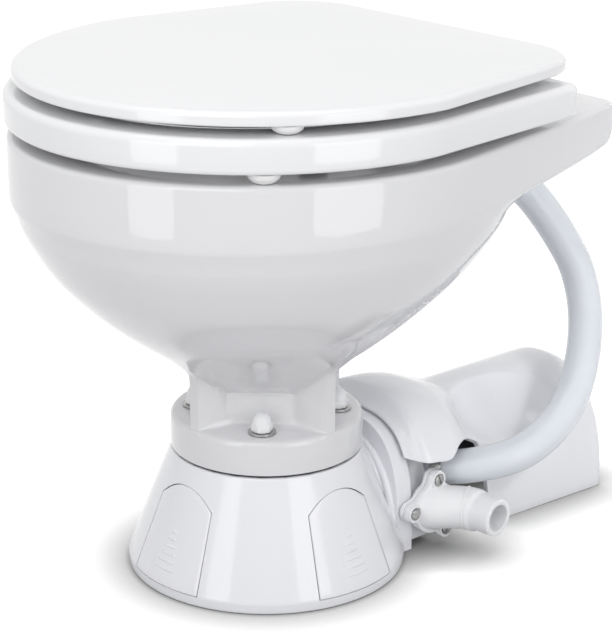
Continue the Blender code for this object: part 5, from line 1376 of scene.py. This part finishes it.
hose = {
    "radius": 0.013,
    "bore": 0.0095,
    "rings": 150,
    "sides": 48,
    "route": (
        (0.0440, 0.1210, 0.0490), (0.0550, 0.1258, 0.0510), (0.0660, 0.1312, 0.0530),
        (0.0800, 0.1410, 0.0570), (0.0915, 0.1530, 0.0613), (0.0980, 0.1680, 0.0663),
        (0.0990, 0.1870, 0.0730), (0.0950, 0.2105, 0.0820), (0.0880, 0.2310, 0.0935),
        (0.0800, 0.2480, 0.1105), (0.0720, 0.2600, 0.1270), (0.0640, 0.2683, 0.1430),
        (0.0560, 0.2728, 0.1590), (0.0480, 0.2730, 0.1762), (0.0410, 0.2690, 0.1905),
        (0.0320, 0.2620, 0.2080), (0.0200, 0.2500, 0.2300), (0.0100, 0.2350, 0.2455),
    ),
    "clampOffset": 0.007,
    "clamp": (0.01335, 0.0144, 0.009),
    "notchSpacing": 0.16,
    "screwBox": ((0.0139, -0.0055, 0.0005), (0.0199, 0.0055, 0.0085)),
    "screw": ((0.0168, -0.0085, 0.0045), (0.0168, 0.0060, 0.0045)),
    "screwRadius": 0.0030,
    "screwSlot": ((0.0138, -0.0088, 0.0040), (0.0198, -0.0075, 0.0050)),
}


def smoothRoute(points, count):
    # evenly spaced places on a curve through all the points
    knots = [Vector(p) for p in points]
    knots = [2 * knots[0] - knots[1], *knots, 2 * knots[-1] - knots[-2]]
    fine = []
    for a, b, c, d in zip(knots, knots[1:], knots[2:], knots[3:]):
        for k in range(8):
            t = k / 8
            bent = (2 * a - 5 * b + 4 * c - d) * t**2 + (3 * b - 3 * c + d - a) * t**3
            fine.append(0.5 * (2 * b + (c - a) * t + bent))
    fine.append(knots[-2])
    runs = [0.0]
    for a, b in zip(fine, fine[1:]):
        runs.append(runs[-1] + (b - a).length)
    even = []
    for k in range(count):
        want = runs[-1] * k / (count - 1)
        i = next((n for n in range(1, len(runs) - 1) if runs[n] >= want), len(runs) - 1)
        even.append(fine[i - 1].lerp(fine[i], (want - runs[i - 1]) / (runs[i] - runs[i - 1])))
    return even


def makeHose():
    ahead = [spudEnd + spudWay * (hose["radius"] * k) for k in (2, 1, 0)]
    line = smoothRoute([*hose["route"], *ahead], hose["rings"])
    for _ in range(6):
        line = [line[0]] + [(a + b * 2 + c) / 4 for a, b, c in zip(line, line[1:], line[2:])] + [line[-1]]
    outer = sweep(line, [hose["radius"]] * len(line), hose["sides"])
    inner = sweep(line, [hose["bore"]] * len(line), hose["sides"])
    piece = keep("flushHoseVinyl", loft(outer + inner[::-1], closed=True), "hose", "toilet", 50)
    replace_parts(piece, "flush_hose")
    startWay = (Vector(hose["route"][1]) - Vector(hose["route"][0])).normalized()
    ends = ((Vector(hose["route"][0]), startWay, upZ, "pump"), (spudEnd, spudWay, -alongX, "bowl"))
    for spot, way, side, word in ends:
        across = (side - way * side.dot(way)).normalized()
        turn = Matrix((across, way.cross(across), way)).transposed().to_4x4()
        place = Matrix.Translation(spot + way * hose["clampOffset"]) @ turn
        inside, outside, width = hose["clamp"]
        band = collar(inside, outside, width, (0.0004, 0.0004), 64)
        notches = []
        for k in range(-9, 10):
            notch = block((outside - 0.0005, -0.0004, 0.002), (outside + 0.0003, 0.0004, width - 0.002))
            notch.transform(Matrix.Rotation(math.pi + k * hose["notchSpacing"], 4, "Z"))
            notches.append(notch)
        band = cut(band, joined(*notches))
        box = rounded(block(*hose["screwBox"]), 0.0008, 3)
        screw = cut(rod(hose["screwRadius"], *hose["screw"], 32), block(*hose["screwSlot"]))
        clamp = joined(band, box, screw)
        clamp.transform(place)
        piece = keep(f"hoseClamp{word.title()}", clamp, "steel", "toilet")
        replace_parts(piece, f"hose_clamp_{word}")


makeHose()
print("hose made")


# floor, light and camera

stage = {
    "floor": 4.0,
    "shade": 0.20,
    "paintedShadowReach": 0.042,
    "glow": 0.98,
    "paint": (0.54, 0.54, 0.55, 1),
    "world": 0.58,
}


def makeFloor():
    # white to the camera apart from a soft shadow round the foot, and a plain bounce to all else. That
    # shadow is mostly a painted shadow, the white glow dimmed by ambient occlusion near the object, and
    # partly a real one cast by the lamps on a faint diffuse
    bm = bmesh.new()
    half = stage["floor"] / 2
    corners = ((-half, -half, 0), (half, -half, 0), (half, half, 0), (-half, half, 0))
    bm.faces.new([bm.verts.new(p) for p in corners])
    floor = linked("studioFloor", meshOf(bm))
    finish = Finish("studioFloorPaint")
    finish.tree.nodes.remove(finish.shader)
    words = ("Camera", "Glossy", "Transmission")
    path, glossy, clear = (finish.node("ShaderNodeLightPath", output=f"Is {word} Ray") for word in words)
    shade = stage["shade"]
    shadow = finish.node("ShaderNodeBsdfDiffuse", None, {"Color": (shade, shade, shade, 1)})
    # painted shadow: ambient occlusion near the object darkens the floor's glow round the foot
    near = finish.node("ShaderNodeAmbientOcclusion", None, {"Distance": stage["paintedShadowReach"]}, "AO")
    strength = near * near * stage["glow"]
    glow = finish.node("ShaderNodeEmission", None, {"Color": (1, 1, 1, 1), "Strength": strength})
    seen = finish.node("ShaderNodeAddShader", None, {0: shadow, 1: glow})
    paint = finish.node("ShaderNodeBsdfDiffuse", None, {"Color": stage["paint"]})
    mixed = finish.node("ShaderNodeMixShader", None, {0: path + glossy + clear, 1: paint, 2: seen})
    finish.tree.links.new(mixed.socket, finish.tree.nodes["Material Output"].inputs["Surface"])
    floor.data.materials.append(finish.material)


def makeWorld():
    # white where it is seen, softer as a light
    world = bpy.data.worlds.new("studioWorld")
    bpy.context.scene.world = world
    world.use_nodes = True
    tree = world.node_tree
    background = tree.nodes["Background"]
    background.inputs["Color"].default_value = (1, 1, 1, 1)
    rays = tree.nodes.new("ShaderNodeLightPath")
    seen = rays.outputs["Is Camera Ray"]
    for word in ("Transmission", "Glossy"):
        most = tree.nodes.new("ShaderNodeMath")
        most.operation = "MAXIMUM"
        tree.links.new(seen, most.inputs[0])
        tree.links.new(rays.outputs[f"Is {word} Ray"], most.inputs[1])
        seen = most.outputs[0]
    spread = tree.nodes.new("ShaderNodeMapRange")
    spread.inputs["To Min"].default_value = stage["world"]
    spread.inputs["To Max"].default_value = 1.0
    tree.links.new(seen, spread.inputs["Value"])
    tree.links.new(spread.outputs[0], background.inputs["Strength"])


def makeLamp(name, spot, aim, size, power, spread=180):
    data = bpy.data.lights.new(name, "AREA")
    data.shape = "RECTANGLE"
    data.size, data.size_y = size
    data.energy = power
    data.spread = math.radians(spread)
    lamp = linked(name, data)
    lamp.location = spot
    lamp.rotation_mode = "QUATERNION"
    lamp.rotation_quaternion = (Vector(spot) - Vector(aim)).to_track_quat("Z", "Y")
    return lamp


# angles are azimuth, elevation and roll in degrees
view = {
    "angles": (47.606, 18.803, 0.354),
    "distance": 1.5343,
    "target": (0.0186, 0.0204, 0.18284),
    "sensor": 36,
    "focalPixels": 2184.6,
    "pixels": 633,
}


def makeCamera():
    azimuth, elevation, roll = (math.radians(angle) for angle in view["angles"])
    flat = math.cos(elevation)
    back = Vector((math.sin(azimuth) * flat, -math.cos(azimuth) * flat, math.sin(elevation)))
    right = atAngle(1, azimuth, 0)
    up = back.cross(right)
    turnedRight = right * math.cos(roll) + up * math.sin(roll)
    turnedUp = up * math.cos(roll) - right * math.sin(roll)
    data = bpy.data.cameras.new("photoCamera")
    data.sensor_width = view["sensor"]
    data.lens = view["focalPixels"] * view["sensor"] / view["pixels"]
    data.clip_start = 0.05
    data.clip_end = 50
    camera = linked("photoCamera", data)
    facing = Matrix((turnedRight, turnedUp, back)).transposed().to_4x4()
    camera.matrix_world = Matrix.Translation(Vector(view["target"]) + back * view["distance"]) @ facing
    bpy.context.scene.camera = camera


makeFloor()
makeWorld()
makeLamp("frontSoftbox", (0.19, -1.03, 0.47), (0.0, 0.0, 0.46), (0.36, 0.90), 1.7)
makeLamp("rightSoftbox", (1.05, -0.06, 0.47), (0, 0.02, 0.46), (0.50, 0.90), 2.5)
makeLamp("highSoftbox", (0.56, -0.97, 1.15), (0, 0, 0.12), (0.7, 0.7), 3.0)
makeLamp("topSoftbox", (-0.1, 0.0, 1.9), (0, 0, 0.2), (1.2, 1.2), 6.5)
coverLamp = makeLamp("coverLamp", (0.95, 0.3, 0.95), (0.03, 0.235, 0.07), (0.2, 0.2), 0.045, 20)
coverLamp.visible_glossy = False
makeCamera()
bpy.context.scene.view_settings.view_transform = "Standard"
print("stage made")
